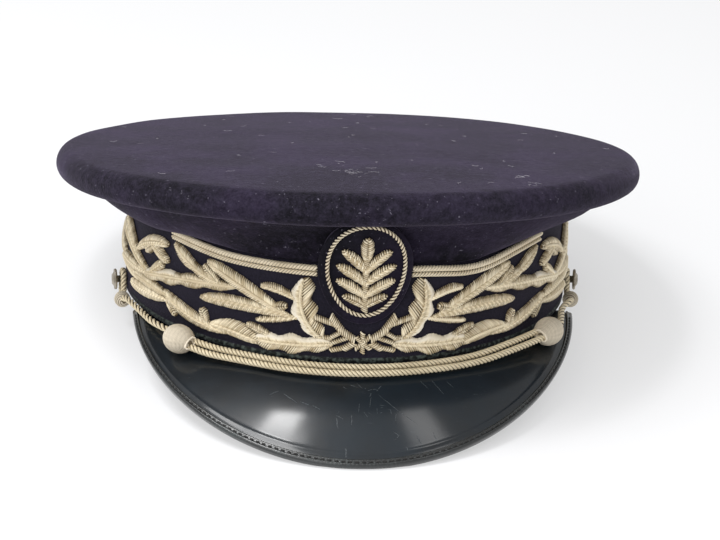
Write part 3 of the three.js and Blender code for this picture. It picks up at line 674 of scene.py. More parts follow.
class Shell:
    """Vertices, faces, loose paths and their values, gathered into one mesh."""

    def __init__(self):
        self.points = []
        self.faces = []
        self.edges = []
        self.values = {}

    def add(self, points, faces=(), edges=(), **values):
        first = len(self.points)
        self.points.extend(points)
        self.faces.extend([[first + corner for corner in face] for face in faces])
        self.edges.extend([(first + a, first + b) for a, b in edges])
        for name in set(self.values) | set(values):
            known = self.values.setdefault(name, [0.0] * first)
            known.extend(np.broadcast_to(values.get(name, 0.0), len(points)).tolist())
        return self

    def path(self, points, closed=False, **values):
        count = len(points)
        edges = [(i, (i + 1) % count) for i in range(count if closed else count - 1)]
        return self.add(points, edges=edges, **values)

    def loft(self, sections, ring=False, **values):
        """A closed skin over sections, each a loop of points. A ring joins the last to the first."""
        rows, count = len(sections), len(sections[0])
        faces = []
        for i in range(rows if ring else rows - 1):
            a, b = i * count, ((i + 1) % rows) * count
            for j in range(count):
                k = (j + 1) % count
                faces.append([a + j, a + k, b + k, b + j])
        if not ring:
            faces.append(list(range(count))[::-1])
            faces.append([(rows - 1) * count + j for j in range(count)])
        points = np.asarray(sections, float).reshape(-1, 3)
        if enclosed(points, faces) < 0:
            faces = [face[::-1] for face in faces]
        return self.add(points, faces, **values)

    def mesh(self, name):
        mesh = bpy.data.meshes.new(name)
        mesh.from_pydata(to_frame(np.array(self.points)).tolist(), self.edges, self.faces)
        for key, values in self.values.items():
            mesh.attributes.new(key, "FLOAT", "POINT").data.foreach_set("value", values)
        mesh.update()
        return mesh


def enclosed(points, faces):
    """Six times the volume inside a closed skin, less than nothing where its faces point inwards."""
    total = 0.0
    for face in faces:
        for i in range(1, len(face) - 1):
            total += np.dot(points[face[0]], np.cross(points[face[i]], points[face[i + 1]]))
    return total


def welded(mesh):
    """Closes poles and seams, and shades the mesh smooth."""
    work = bmesh.new()
    work.from_mesh(mesh)
    bmesh.ops.remove_doubles(work, verts=work.verts, dist=2e-6)
    bmesh.ops.dissolve_degenerate(work, edges=work.edges, dist=1e-7)
    work.to_mesh(mesh)
    work.free()
    mesh.shade_smooth()
    return mesh


def placed(name, mesh, material):
    piece = bpy.data.objects.new(name, mesh)
    bpy.context.scene.collection.objects.link(piece)
    mesh.materials.clear()
    mesh.materials.append(material)
    return piece


def belongs(piece, slot, *nodes):
    """Hides the solids that a piece stands for and hangs it on the root body. Its slot is not used."""
    if nodes:
        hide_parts(*nodes)
    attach(piece, "root")
    return piece


def floor_kept(mesh):
    """Presses a mesh flat where it would sink into the surface it rests on, and shades it smooth."""
    for vertex in mesh.vertices:
        vertex.co.z = max(vertex.co.z, REST.floor_clear * MM)
    mesh.shade_smooth()
    return mesh


def skinned(name, shell, material, treated=welded):
    """A piece with a closed skin, welded or kept off the floor."""
    return placed(name, treated(shell.mesh(name)), material)


# Trees that make what repeats


class Grower(Tree):
    """A Geometry Nodes tree with named inputs."""

    def __init__(self, name, inputs):
        super().__init__(bpy.data.node_groups.new(name, "GeometryNodeTree"))
        face = self.tree.interface
        face.new_socket("Geometry", in_out="INPUT", socket_type="NodeSocketGeometry")
        for key, kind in inputs.items():
            face.new_socket(key, in_out="INPUT", socket_type=f"NodeSocket{kind}")
        face.new_socket("Geometry", in_out="OUTPUT", socket_type="NodeSocketGeometry")
        self.start = self.node("NodeGroupInput", output="Geometry")

    def size(self, name):
        return self.start.other(name)

    def vector_maths(self, operation, first, second):
        sockets = {0: first, 1: second}
        return self.node("ShaderNodeVectorMath", {"operation": operation}, sockets, "Vector")

    def scaled(self, vector, amount):
        sockets = {0: vector, "Scale": amount}
        return self.node("ShaderNodeVectorMath", {"operation": "SCALE"}, sockets, "Vector")

    def stored(self, geometry, name, value):
        return self.node(
            "GeometryNodeStoreNamedAttribute",
            {"data_type": "FLOAT", "domain": "POINT"},
            {"Geometry": geometry, "Name": name, "Value": value},
        )

    def named(self, name):
        settings = {"data_type": "FLOAT"}
        return self.node("GeometryNodeInputNamedAttribute", settings, {"Name": name}, "Attribute")

    def distance(self, part, element):
        settings = {"target_element": element}
        return self.node("GeometryNodeProximity", settings, {0: part}, "Distance")

    def swept(self, curves, radius, **scale):
        """Round threads along curves."""
        round_shape = {"Resolution": self.size("Sides"), "Radius": radius}
        ring = self.node("GeometryNodeCurvePrimitiveCircle", sockets=round_shape)
        sockets = {"Curve": curves, "Profile Curve": ring, "Fill Caps": True, **scale}
        return self.node("GeometryNodeCurveToMesh", sockets=sockets)

    def end(self, geometry):
        smooth = self.node("GeometryNodeSetShadeSmooth", sockets={"Geometry": geometry})
        plain = self.node("GeometryNodeRealizeInstances", sockets={"Geometry": smooth})
        dressed = self.node(
            "GeometryNodeSetMaterial", sockets={"Geometry": plain, "Material": self.size("Material")}
        )
        self.node("NodeGroupOutput", sockets={"Geometry": dressed})
        return self.tree


def twisted_strands():
    """Strands twisted round each path, like a rope."""
    inputs = {
        "Strands": "Int", "Twist": "Float", "Coil": "Float", "Strand": "Float", "Step": "Float",
        "Sides": "Int", "Material": "Material",
    }
    tree = Grower("twisted strands", inputs)
    path = tree.node("GeometryNodeMeshToCurve", sockets={"Mesh": tree.start})
    steps = {"Curve": path, "Length": tree.size("Step")}
    even = tree.node("GeometryNodeResampleCurve", {"mode": "LENGTH"}, steps)
    amount = {"Geometry": even, "Amount": tree.size("Strands")}
    copies = tree.node("GeometryNodeDuplicateElements", {"domain": "SPLINE"}, amount)
    number = copies.other("Duplicate Index")
    along = tree.node("GeometryNodeSplineParameter", output="Length")
    angle = along * tree.size("Twist") + tree.named("slack") + number * math.tau / tree.size("Strands")
    normal = tree.node("GeometryNodeInputNormal")
    tangent = tree.node("GeometryNodeInputTangent")
    aside = tree.vector_maths("CROSS_PRODUCT", tangent, normal)
    coil = tree.size("Coil")
    first = tree.scaled(normal, angle.maths("COSINE", angle) * coil)
    second = tree.scaled(aside, angle.maths("SINE", angle) * coil)
    moved = {"Geometry": copies, "Offset": tree.vector_maths("ADD", first, second)}
    wound = tree.node("GeometryNodeSetPosition", sockets=moved)
    strands = tree.swept(wound, tree.size("Strand"))
    # Height out from the rope's axis, which sets the painted shade in the grooves between strands.
    from_middle = tree.distance(tree.start, "EDGES")
    relief = from_middle / (coil + tree.size("Strand")) * 2.0 - 1.05
    return tree.end(tree.stored(strands, "relief", relief))


def laid_threads():
    """Round threads along loose paths, as thick as each path says, over the padding that they cover."""
    tree = Grower("laid threads", {"Sides": "Int", "Material": "Material"})
    thickness = tree.named("thickness")
    choice = {"Geometry": tree.start, "Selection": thickness > 0.0}
    parts = tree.node("GeometryNodeSeparateGeometry", {"domain": "POINT"}, choice)
    paths = tree.node("GeometryNodeMeshToCurve", sockets={"Mesh": parts})
    threads = tree.swept(paths, MM, Scale=thickness)
    padding = parts.other("Inverted")
    # Each thread's height over the padding sets its painted shade.
    depth = tree.distance(padding, "FACES")
    marked = tree.stored(threads, "relief", depth / (thickness * (2 * MM)))
    # The padding has no relief, so it is painted as shade throughout.
    return tree.end(tree.node("GeometryNodeJoinGeometry", sockets={"Geometry": [marked, padding]}))


def row_of_stitches():
    """Stitches end to end along a path."""
    inputs = {"Pitch": "Float", "Length": "Float", "Width": "Float", "Material": "Material"}
    tree = Grower("row of stitches", inputs)
    path = tree.node("GeometryNodeMeshToCurve", sockets={"Mesh": tree.start})
    steps = {"Curve": path, "Length": tree.size("Pitch")}
    spots = tree.node("GeometryNodeCurveToPoints", {"mode": "LENGTH"}, steps, "Points")
    bead = tree.node("GeometryNodeMeshUVSphere", sockets={"Segments": 8, "Rings": 5, "Radius": 0.5})
    width = tree.size("Width")
    size = tree.node("ShaderNodeCombineXYZ", sockets={"X": width, "Y": width, "Z": tree.size("Length")})
    row = tree.node(
        "GeometryNodeInstanceOnPoints",
        sockets={"Points": spots, "Instance": bead, "Rotation": spots.other("Rotation"), "Scale": size},
    )
    return tree.end(row)


def grown(name, mesh, tree, sizes):
    """Runs a tree on a mesh and keeps what it makes as a plain mesh."""
    piece = bpy.data.objects.new(name, mesh)
    bpy.context.scene.collection.objects.link(piece)
    growth = piece.modifiers.new(tree.name, "NODES")
    growth.node_group = tree
    for socket in tree.interface.items_tree:
        if socket.in_out == "INPUT" and socket.name in sizes:
            growth[socket.identifier] = sizes[socket.name]
    depsgraph = bpy.context.evaluated_depsgraph_get()
    result = bpy.data.meshes.new_from_object(
        piece.evaluated_get(depsgraph), preserve_all_data_layers=True, depsgraph=depsgraph
    )
    piece.modifiers.clear()
    piece.data = result
    result.name = name
    return piece


TWISTED_STRANDS = twisted_strands()
LAID_THREADS = laid_threads()
STITCHES = row_of_stitches()


def threaded(name, shell, sides, material):
    """A piece of round threads along loose paths, with the padding under them."""
    return grown(name, shell.mesh(name), LAID_THREADS, {"Sides": sides, "Material": material})


def rope(name, path, radius, strands, pitch, twist, material, closed=False, slack=0.0):
    """A rope of twisted strands along a path on the cap, less twisted by its slack."""
    shell = Shell().path(path, closed, tone=STRAND.tone, slack=slack)
    strand = radius / (1 + 1 / math.sin(math.pi / strands)) * STRAND.fill
    sizes = {
        "Strands": strands, "Twist": twist * math.tau / (pitch * MM), "Coil": (radius - strand) * MM,
        "Strand": strand * MM, "Step": STRAND.step * MM, "Sides": STRAND.sides,
        "Material": material,
    }
    return grown(name, shell.mesh(name), TWISTED_STRANDS, sizes)


# Crown, band and badge


def crown_top():
    phi = np.linspace(0, math.tau, CROWN.around, endpoint=False)
    section = crown_section(phi)
    centre = np.array([0.0, RIM.centre_y, 0.0])

    def flat(share, drop):
        point = in_section(section, section.reach, 0.0) * (1 - share) + centre * share
        plane = RIM.height + RIM.front_lift * np.cos(phi) * (1 - share)
        up = plane + RIM.roll + CROWN.dome * (1 - (1 - share) ** 2) - drop
        return points_of(point[..., 0], point[..., 1], up)

    def rolled(radius, angle):
        return in_section(section, *on_roll(section, radius, angle))

    inner = RIM.roll - CROWN.wall
    shares = [0.03, 0.08, 0.15, 0.24, 0.34, 0.45, 0.56, 0.67, 0.78, 0.88, 0.95, 1.0]
    profile = [rolled(RIM.roll - 0.7, CROWN.seam), rolled(RIM.roll - 0.2, CROWN.seam + 0.6)]
    profile += [rolled(RIM.roll, angle) for angle in np.linspace(CROWN.seam + 3, 90, RIM.steps)]
    outer = len(profile)
    profile += [flat(share, 0.0) for share in shares]
    profile += [flat(share, CROWN.wall) for share in shares[::-1]]
    profile += [rolled(inner, angle) for angle in np.linspace(90, CROWN.seam, RIM.inner_steps)]
    points = soft_waves(np.stack(profile, axis=1), np.ones((CROWN.around, len(profile))))
    turns = np.concatenate([np.linspace(CROWN.seam, 90, outer), np.full(len(profile) - outer, 90)])
    # Painted light, partly wear at the rim: a lighter share over the whole top, more round the front of
    # the roll and most at the front right.
    over = np.exp(-(((turns - PAINTED_LIGHT_AND_WEAR.turn) / PAINTED_LIGHT_AND_WEAR.spread) ** 2))
    round_about = 1 + PAINTED_LIGHT_AND_WEAR.more * np.exp(-(((np.degrees(phi) - PAINTED_LIGHT_AND_WEAR.place) / PAINTED_LIGHT_AND_WEAR.around) ** 2))
    rubbed = PAINTED_LIGHT_AND_WEAR.flat + PAINTED_LIGHT_AND_WEAR.rim * np.outer(round_about, over)
    shell = Shell().loft(points, ring=True, rubbed=rubbed.ravel())
    return belongs(skinned("crown_top_cloth", shell, CROWN_WOOL), "crown_cloth", "crown_top")


def crown_lint():
    """Loose fibres and small tufts of lint that lie on the crown."""
    draw = random.Random(71)
    spots = [
        (tuft.x + draw.gauss(0.0, tuft.spread), tuft.y + draw.gauss(0.0, tuft.spread))
        for tuft in LINT_TUFTS
        for _ in range(tuft.fibres)
    ]
    for _ in range(STRAY_FIBRES):
        turn, share = draw.uniform(0.0, math.tau), math.sqrt(draw.uniform(0.0, 0.9))
        aside, ahead = RIM.half_width * share * math.sin(turn), RIM.half_length * share * math.cos(turn)
        spots.append((aside, RIM.centre_y - ahead))
    shell = Shell()
    for x, y in spots:
        heading, curl, step = draw.uniform(0.0, math.tau), draw.gauss(0.0, 0.5), draw.uniform(0.3, 0.9)
        fibre = []
        for _ in range(FIBRE.points):
            fibre.append((x, y, crown_height(x, y) + draw.uniform(0.1, 0.4)))
            heading += curl + draw.gauss(0.0, 0.2)
            x += step * math.cos(heading)
            y += step * math.sin(heading)
        fibre = soft_waves(np.array(fibre), np.ones(FIBRE.points))
        shell.path(fibre, thickness=draw.uniform(FIBRE.thinnest, FIBRE.thickest))
    return belongs(threaded("crown_lint", shell, FIBRE.sides, LINT), "crown_cloth")


def crown_height(x, y):
    """Height of the crown's top at a place."""
    ahead = (RIM.centre_y - y) / RIM.half_length
    share = math.hypot(x / RIM.half_width, ahead)
    return RIM.height + RIM.front_lift * ahead + RIM.roll + CROWN.dome * (1 - share**2)


def crown_side():
    phi = np.linspace(0, math.tau, CROWN.around, endpoint=False)
    section = crown_section(phi)
    stations = np.linspace(0, 1, FLARE.steps) ** FLARE.crowding
    outside = [flare_at(section, t) for t in stations]
    inside = []
    for t, (out, up) in zip(stations, outside):
        if t == 0:
            inside.append((out - CROWN.wall, up))
        elif t == 1:
            inside.append(on_roll(section, RIM.roll - CROWN.wall, CROWN.seam - CROWN.seam_gap))
        else:
            out_a, up_a = flare_at(section, max(t - FLARE.probe, 0.0))
            out_b, up_b = flare_at(section, t + FLARE.probe)
            length = np.hypot(out_b - out_a, up_b - up_a) / CROWN.wall
            inside.append((out - (up_b - up_a) / length, up + (out_b - out_a) / length))
    points = np.stack([in_section(section, out, up) for out, up in outside + inside[::-1]], axis=1)
    keep = np.concatenate([stations, stations[::-1]])[None, :] * np.ones((CROWN.around, 1))
    shell = Shell().loft(soft_waves(points, keep), ring=True)
    return belongs(skinned("crown_side_cloth", shell, CROWN_WOOL), "crown_cloth", "crown_side")


def band():
    phi = np.linspace(0, math.tau, BAND.around, endpoint=False)
    top = band_height(phi)
    front = np.clip((WELT.end - np.abs(turn_of(phi))) / WELT.fade, 0.0, 1.0)
    face = np.zeros_like(phi)
    back = face - BAND.wall
    edge = BAND.edge
    shares = np.linspace(0, 1, 9)
    outside = []
    for share in shares:
        swell = math.sin(math.pi * share) ** WELT.roundness
        outside.append((WELT.out * front * swell, face + WELT.height * share))
    rise = top - edge - WELT.height
    outside += [(face, WELT.height + rise * share) for share in np.linspace(0.02, 1, 8)]
    outside += [(face - 0.15, top - 0.12), (face - edge, top)]
    inside = [(back + edge, top), (back, top - edge), (back, face + edge), (back + edge, face)]
    points = np.stack([band_point(phi, out, up) for out, up in outside + inside], axis=1)
    welt = np.zeros(points.shape[:2])
    welt[:, : len(shares) - 1] = front[:, None]
    shell = Shell().loft(points, ring=True, welt=welt.reshape(-1))
    return belongs(skinned("band_cloth", shell, BAND_WOOL, floor_kept), "band_cloth", "band")


def badge_pad():
    angles = np.linspace(0, math.tau, 72, endpoint=False)
    rings = [0.0, 0.2, 0.4, 0.56, 0.7, 0.8, 0.88, 0.94, 0.98, 1.0]
    sections = []
    for angle in angles:
        front, back = [], []
        for share in rings:
            along = PAD.half_width * share * math.sin(angle)
            up = PAD.up + PAD.half_height * share * math.cos(angle)
            soft = PAD.soft * max(0.0, (share - PAD.firm) / (1 - PAD.firm)) ** 2
            front.append(on_badge(along, up, -soft))
            turn = float(angle_along(along + MOTIF_SHIFT))
            back.append(band_point(turn, front_out(turn, up) + 1.6 * GAP, up))
        sections.append(front + back[::-1])
    pad = skinned("badge_padding", Shell().loft(np.array(sections), ring=True), BADGE_WOOL)
    belongs(pad, "badge_cloth", "badge_pad")
    return pad


def badge_rope():
    angles = np.linspace(0, math.tau, 120, endpoint=False)
    along = RING.half_width * np.sin(angles)
    up = RING.up + RING.half_height * np.cos(angles)
    path = on_badge(along, up, GAP / 2 + RING.radius)
    pitch = np.linalg.norm(np.diff(path, axis=0, append=path[:1]), axis=1).sum() / RING.turns
    piece = rope("badge_ring", path, RING.radius, RING.strands, pitch, 1, ROPE_GOLD, closed=True)
    return belongs(piece, "rope", "badge_rope")


def band_ropes():
    levels = {"upper": (ROPE.upper, ROPE.upper_down), "lower": (ROPE.lower, ROPE.lower_down)}
    for hand, side, end in (("left", -1, ROPE.left_end), ("right", 1, ROPE.right_end)):
        start = float(angle_along(MOTIF_SHIFT + side * (PAD.half_width + 2 * GAP)))
        phi = np.linspace(start, side * math.radians(end), 100)
        for level, (radius, down) in levels.items():
            path = band_point(phi, radius + ROPE.seat, band_height(phi) - down)
            name = f"band_cord_{level}_{hand}"
            piece = rope(name, path, radius, ROPE.strands, ROPE.pitch, -1, ROPE_GOLD)
            belongs(piece, "rope", f"band_rope_{level}_{hand}")


# Embroidery


def leaf_shape(t, lobes):
    """Half-width along a leaf as a share of its widest, with lobes or plain."""
    outline = np.sin(math.pi * np.asarray(t, float) ** LEAF.lean).clip(0.0) ** LEAF.fullness
    if lobes == 0:
        return outline
    wave = 0.5 + 0.5 * np.cos(math.tau * lobes * t)
    return outline**LEAF.lobed_fullness * (1 - LEAF.lobe_depth * wave)


def pillow(share):
    """Height across half a leaf, from the groove beside its midrib to its edge."""
    share = np.asarray(share, float)
    groove = 0.5 + 0.5 * np.minimum(1.0, share / RELIEF.groove)
    return np.sqrt((1 - share**RELIEF.roundness).clip(0.0)) * groove


def run_of(row):
    """Start, span, length and leftward direction of a leaf or stalk on the flat band."""
    start = np.array([row.from_along, row.from_up], float)
    span = np.array([row.to_along, row.to_up], float) - start
    length = float(np.hypot(*span))
    return start, span, length, np.array([-span[1], span[0]]) / length


class Embroidery:
    """Padded leaves and bars covered in laid threads, on one surface of the cap."""

    def __init__(self, place, mirror, seed):
        self.place = place
        self.mirror = mirror
        self.draw = random.Random(seed)
        self.shell = Shell()

    def on(self, flat, out):
        return self.place(self.mirror * flat[..., 0], flat[..., 1], out)

    def thread(self, flat, out, radius, tone, pale=0.0):
        taper = np.ones(len(flat))
        taper[-1] = THREAD.tip
        self.shell.path(self.on(flat, out), thickness=radius * taper, tone=tone, pale=pale)

    def tone(self):
        return self.draw.uniform(*THREAD.tones)

    def leaf(self, row, lift):
        start, span, length, leftward = run_of(row)

        def middle(t):
            t = np.asarray(t, float)[..., None]
            return start + span * t + leftward * (4 * row.bow * t * (1 - t))

        def crest(t):
            rise = RELIEF.foot + RELIEF.rise * leaf_shape(t, row.lobes)
            return RELIEF.height * np.minimum(1.0, rise)

        self.padding(row, middle, leftward, crest, lift)
        share = np.linspace(0.0, 1.0, THREAD.points)
        for side, half in ((1, row.left), (-1, row.right)):

            def outline(t):
                return middle(t) + side * leftward * (half * leaf_shape(t, row.lobes))[..., None]

            for t, silk in self.stations(row, side, outline):
                kind = SILK if silk else THREAD
                width = half * float(leaf_shape(t, row.lobes))
                if width < THREAD.shortest:
                    continue
                root = max(0.0, t - kind.slant * width / length)
                tip = outline(t) + side * leftward * self.draw.uniform(-THREAD.uneven, THREAD.uneven)
                flat = middle(root) * (1 - share[:, None]) + tip * share[:, None]
                under = np.linspace(root, t, THREAD.points)
                spread = width / np.maximum(half * leaf_shape(under, row.lobes), width)
                out = lift + THREAD.over + crest(under) * pillow(share * spread)
                self.thread(flat, out, kind.radius, self.tone(), silk * (share > SILK.inner))
        if length > MIDRIB.shortest:
            self.midrib(middle, crest, length, lift)

    def stations(self, row, side, outline):
        """Where the threads of one half end, a pitch apart on its outline, and whether each is silk."""
        fine = np.linspace(0.0, THREAD.last, 300)
        strides = np.linalg.norm(np.diff(outline(fine), axis=0), axis=1)
        walked = np.concatenate([[0.0], np.cumsum(strides)])
        place = 0.0
        while place < walked[-1]:
            t = float(np.interp(place, walked, fine))
            silk = float(row.pale == side and t >= row.pale_from)
            yield t, silk
            place += (SILK.pitch if silk else THREAD.pitch) * self.draw.uniform(0.9, 1.1)

    def padding(self, row, middle, leftward, crest, lift):
        count = 8 + 8 * int(row.lobes)
        sections = []
        for t in np.concatenate([np.linspace(0.0, 0.96, count), [0.98, 0.992, 1.0]]):
            share = float(leaf_shape(t, row.lobes)) if 0.0 < t < 1.0 else 0.0
            across = np.array([1.0, 0.8, 0.5, 0.2, 0.0, -0.2, -0.5, -0.8, -1.0])
            half = np.where(across > 0, row.left, row.right)
            flat = middle(t) + leftward * (across * half * share)[:, None]
            high = (float(crest(t)) * pillow(np.abs(across)) - PADDING.leaf_inset).clip(PADDING.sunk)
            sections.append(self.on(flat, lift + high * min(1.0, share * 4)))
        self.shell.loft(sections, tone=PADDING.tone)

    def midrib(self, middle, crest, length, lift):
        turns = length * MIDRIB.end / MIDRIB.pitch
        t = np.linspace(0.0, MIDRIB.end, int(turns * MIDRIB.points_per_turn))
        ahead = middle(np.minimum(t + 0.01, 1.0)) - middle(np.maximum(t - 0.01, 0.0))
        aside = np.stack([-ahead[:, 1], ahead[:, 0]], axis=1) / np.linalg.norm(ahead, axis=1)[:, None]
        for strand in (0.0, math.pi):
            angle = t * length / MIDRIB.pitch * math.tau + strand
            flat = middle(t) + aside * (MIDRIB.coil * np.cos(angle))[:, None]
            out = lift + crest(t) * MIDRIB.crest + MIDRIB.over + MIDRIB.coil * np.sin(angle)
            taper = MIDRIB.strand * np.minimum(1.0, (1.02 - t) * 6)
            self.shell.path(self.on(flat, out), thickness=taper, tone=self.tone(), pale=0.0)

    def stalk(self, row, lift):
        start, span, length, leftward = run_of(row)
        onward = span / length
        crest = STALK.height + STALK.by_width * row.half
        sections = []
        for t in np.linspace(0.0, 1.0, 2 + int(length / 3)):
            across = np.linspace(1.0, -1.0, 7)
            flat = start + span * t + leftward * (across * row.half)[:, None]
            high = (crest * np.sqrt(1 - across**2) - PADDING.stalk_inset).clip(PADDING.sunk)
            sections.append(self.on(flat, lift + high))
        self.shell.loft(sections, tone=PADDING.tone)
        count = max(2, round(length / THREAD.pitch))
        across = np.linspace(1.0, -1.0, THREAD.points + 1)
        for i in range(count + 1):
            along = length * i / count + row.half * STALK.slant * across
            flat = start + onward * along[:, None] + leftward * (across * row.half)[:, None]
            out = lift + THREAD.over + crest * np.sqrt(1 - across**2)
            self.thread(flat, out, THREAD.radius, self.tone())

    def piece(self, name):
        return threaded(name, self.shell, THREAD.sides, BULLION)


def embroidered(name, node, leaves, stalks, place, mirror, seed):
    work = Embroidery(place, mirror, seed)
    for i, row in enumerate(leaves):
        work.leaf(row, GAP / 2 + LAYERS.leaf * (i % LAYERS.leaves))
    for i, row in enumerate(stalks):
        work.stalk(row, GAP / 2 + LAYERS.stalk + LAYERS.stalk * (i % LAYERS.stalks))
    return belongs(work.piece(name), "bullion", node)


def turned_over(row):
    """The same leaf on the other side of the stalk."""
    return row._replace(from_along=-row.from_along, to_along=-row.to_along, bow=-row.bow)


def embroidery():
    for hand, mirror, seed in (("left", -1, 11), ("right", 1, 23)):
        name = f"garland_threads_{hand}"
        embroidered(name, f"garland_{hand}", GARLAND_LEAVES, GARLAND_STALKS, on_band, mirror, seed)
    embroidered("garland_tie", "garland_knot", [], KNOT_STALKS, on_band, 1, 31)
    leaves = [SPRIG_TOP, *SPRIG_PAIRS, *[turned_over(row) for row in SPRIG_PAIRS]]
    embroidered("sprig_threads", "badge_sprig", leaves, [SPRIG_STALK], on_badge, 1, 47)


# Peak


def peak_edge(s):
    c = np.cos(s)
    reach = BAND.half_length + PEAK.reach + PEAK.corner_y
    x = PEAK.half_width * np.sin(s) + PEAK.aside * (1 - c) ** 2
    y = PEAK.corner_y - reach * c**PEAK.fullness
    return points_of(x, y, -PEAK.corner_drop - PEAK.drop * c**PEAK.dip)


def peak_sheet(s, shares):
    """The middle of the leather, from inside the band to the edge: places along it by points down it."""
    phi = s * PEAK.root_angle / 90
    inside = -BAND.wall - 1.5 * GAP - PEAK.thickness / 2
    root = band_point(phi, PEAK.root_out - BAND.wall, -PEAK.root_depth)
    edge = peak_edge(s)
    rows = [band_point(phi, inside, up) for up in PEAK.flange_rows]
    for t in shares:
        point = root * (1 - t) + edge * t
        point[..., 2] += PEAK.bulge * math.sin(math.pi * t)
        rows.append(point)
    return np.stack(rows, axis=1)


def upward(grid):
    """Unit directions off the upper side of a sheet."""
    along = np.gradient(grid, axis=0)
    down = np.gradient(grid, axis=1)
    across = np.cross(along, down)
    return -across / np.linalg.norm(across, axis=-1)[..., None]


PEAK_ANGLES = np.radians(np.linspace(-PEAK.end, PEAK.end, PEAK.steps + 1))
PEAK_SHARES = np.concatenate([np.linspace(0.0, 0.8, 15), np.linspace(0.82, 1.0, 14)])


def peak():
    grid = peak_sheet(PEAK_ANGLES, PEAK_SHARES)
    inward = np.linalg.norm(grid - grid[:, -1:], axis=-1)
    pressed = PRESSED_LINE.height * np.exp(-(((inward - PRESSED_LINE.inward) / PRESSED_LINE.width) ** 2))
    lift = upward(grid) * PEAK.thickness / 2
    top = grid + lift + upward(grid) * pressed[..., None]
    sections = np.concatenate([top, (grid - lift)[:, ::-1]], axis=1)
    return belongs(skinned("peak_leather", Shell().loft(sections), PATENT, floor_kept), "leather", "peak")


def edge_axes():
    grid = peak_sheet(PEAK_ANGLES, PEAK_SHARES)
    edge = grid[:, -1]
    outward = edge - grid[:, -2]
    outward /= np.linalg.norm(outward, axis=-1)[..., None]
    return edge, outward, upward(grid)[:, -1]


def peak_binding():
    edge, outward, up = edge_axes()
    sections = np.stack([edge + outward * a + up * b for a, b in BINDING], axis=1)
    binding = skinned("peak_edge_binding", Shell().loft(sections), BOUND_EDGE, floor_kept)
    belongs(binding, "leather", "peak_binding")
    line = Shell().path((edge + outward * SEAM_LINE.inner + up * SEAM_LINE.up)[2:-2])
    sizes = {
        "Pitch": SEAM_LINE.pitch * MM, "Length": SEAM_LINE.length * MM, "Width": SEAM_LINE.width * MM,
        "Material": STITCH_THREAD,
    }
    belongs(grown("peak_edge_stitches", line.mesh("peak_edge_stitches"), STITCHES, sizes), "leather")


def on_peak(turn, down):
    """A place on the upper face of the peak."""
    near = np.radians([turn - 0.5, turn, turn + 0.5])
    sheet = peak_sheet(near, [down - 0.01, down, down + 0.01])[:, -3:]
    return sheet[1, 1] + upward(sheet)[1, 1] * PEAK.thickness / 2


def peak_marks():
    """Nicks and scratches in the leather, as fine ridges along their edges."""
    draw = random.Random(83)
    shell = Shell()
    for mark in PEAK_MARKS:
        start = np.array([mark.from_turn, mark.from_down])
        span = np.array([mark.to_turn, mark.to_down]) - start
        if mark.nicks == 0:
            places = [start + span * share for share in np.linspace(0.0, 1.0, len(SCRATCH_TAPER))]
            line = [on_peak(turn + draw.uniform(-0.1, 0.1), down) for turn, down in places]
            shell.path(line, thickness=mark.width * SCRATCH_TAPER)
            continue
        for share in (np.arange(mark.nicks) + 0.5) / mark.nicks:
            turn, down = start + span * share + (draw.gauss(0.0, NICK.turn), draw.gauss(0.0, NICK.down))
            tilt, drop = draw.gauss(0.0, NICK.tilt), draw.gauss(0.0, NICK.drop)
            bend = (turn, down + draw.gauss(0.0, NICK.bend))
            ends = [(turn - tilt, down - drop), bend, (turn + tilt, down + drop)]
            shell.path([on_peak(*end) for end in ends], thickness=mark.width * draw.uniform(0.4, 1.1))
    return belongs(threaded("peak_wear", shell, 5, WORN_MARKS), "leather")


# Chin cord


def through(points, per_span):
    """A smooth path through points, evenly curved however far apart they are."""
    points = np.asarray(points, float)
    ends = np.concatenate([[2 * points[0] - points[1]], points, [2 * points[-1] - points[-2]]])
    path = []
    for a, b, c, d in zip(ends, ends[1:], ends[2:], ends[3:]):
        ab, bc, cd = (math.sqrt(np.linalg.norm(q - p)) for p, q in ((a, b), (b, c), (c, d)))
        leave = ((b - a) / ab - (c - a) / (ab + bc) + (c - b) / bc) * bc
        arrive = ((c - b) / bc - (d - b) / (bc + cd) + (d - c) / cd) * bc
        t = np.linspace(0.0, 1.0, per_span, endpoint=False)[:, None]
        bend = (2 * t**3 - 3 * t**2 + 1) * b + (t**3 - 2 * t**2 + t) * leave
        path.append(bend + (3 * t**2 - 2 * t**3) * c + (t**3 - t**2) * arrive)
    return np.concatenate(path + [points[-1:]])


def knot_row(loop):
    return (KNOT_PLACE.angle, loop.stand + loop.knot_out, KNOT_PLACE.up - loop.drop)


def side_slack(path, side, slide_angle):
    """How far the strands fall behind an even twist, which is looser between knot and slide."""
    turn = np.degrees(np.arctan2(side * path[:, 0] / BAND.half_width, -path[:, 1] / BAND.half_length))
    loose = (turn[1:] > slide_angle) & (turn[1:] < KNOT_PLACE.angle)
    strides = np.linalg.norm(np.diff(path, axis=0), axis=1)
    lost = strides * loose * (1 / CORD.pitch - 1 / CORD.loose_pitch)
    return -math.tau * np.concatenate([[0.0], np.cumsum(lost)])


def chin_cords():
    for hand, loop in LOOPS.items():
        rows = [(angle, out + loop.stand, up - loop.drop) for angle, out, up in BUTTON_LOOP]
        rows += [knot_row(loop), *CORD_RUNS[hand]]
        spots = [band_point(loop.side * math.radians(angle), out, up) for angle, out, up in rows]
        path = through(spots, CORD.per_span)
        piece = rope(
            f"chin_cord_strands_{hand}", path, CORD.radius, CORD.strands, CORD.pitch, 1, CORD_GOLD,
            slack=side_slack(path, loop.side, abs(SLIDES[f"slide_{hand}"].angle)),
        )
        belongs(piece, "cord", f"chin_cord_{hand}")


def ball_axes(phi):
    """Axes at a place on the band: along it, out from it and up."""
    outward = band_point(phi, 1.0, 0.0) - band_point(phi, 0.0, 0.0)
    upward_axis = np.array([0.0, 0.0, 1.0])
    return np.cross(upward_axis, outward), outward, upward_axis


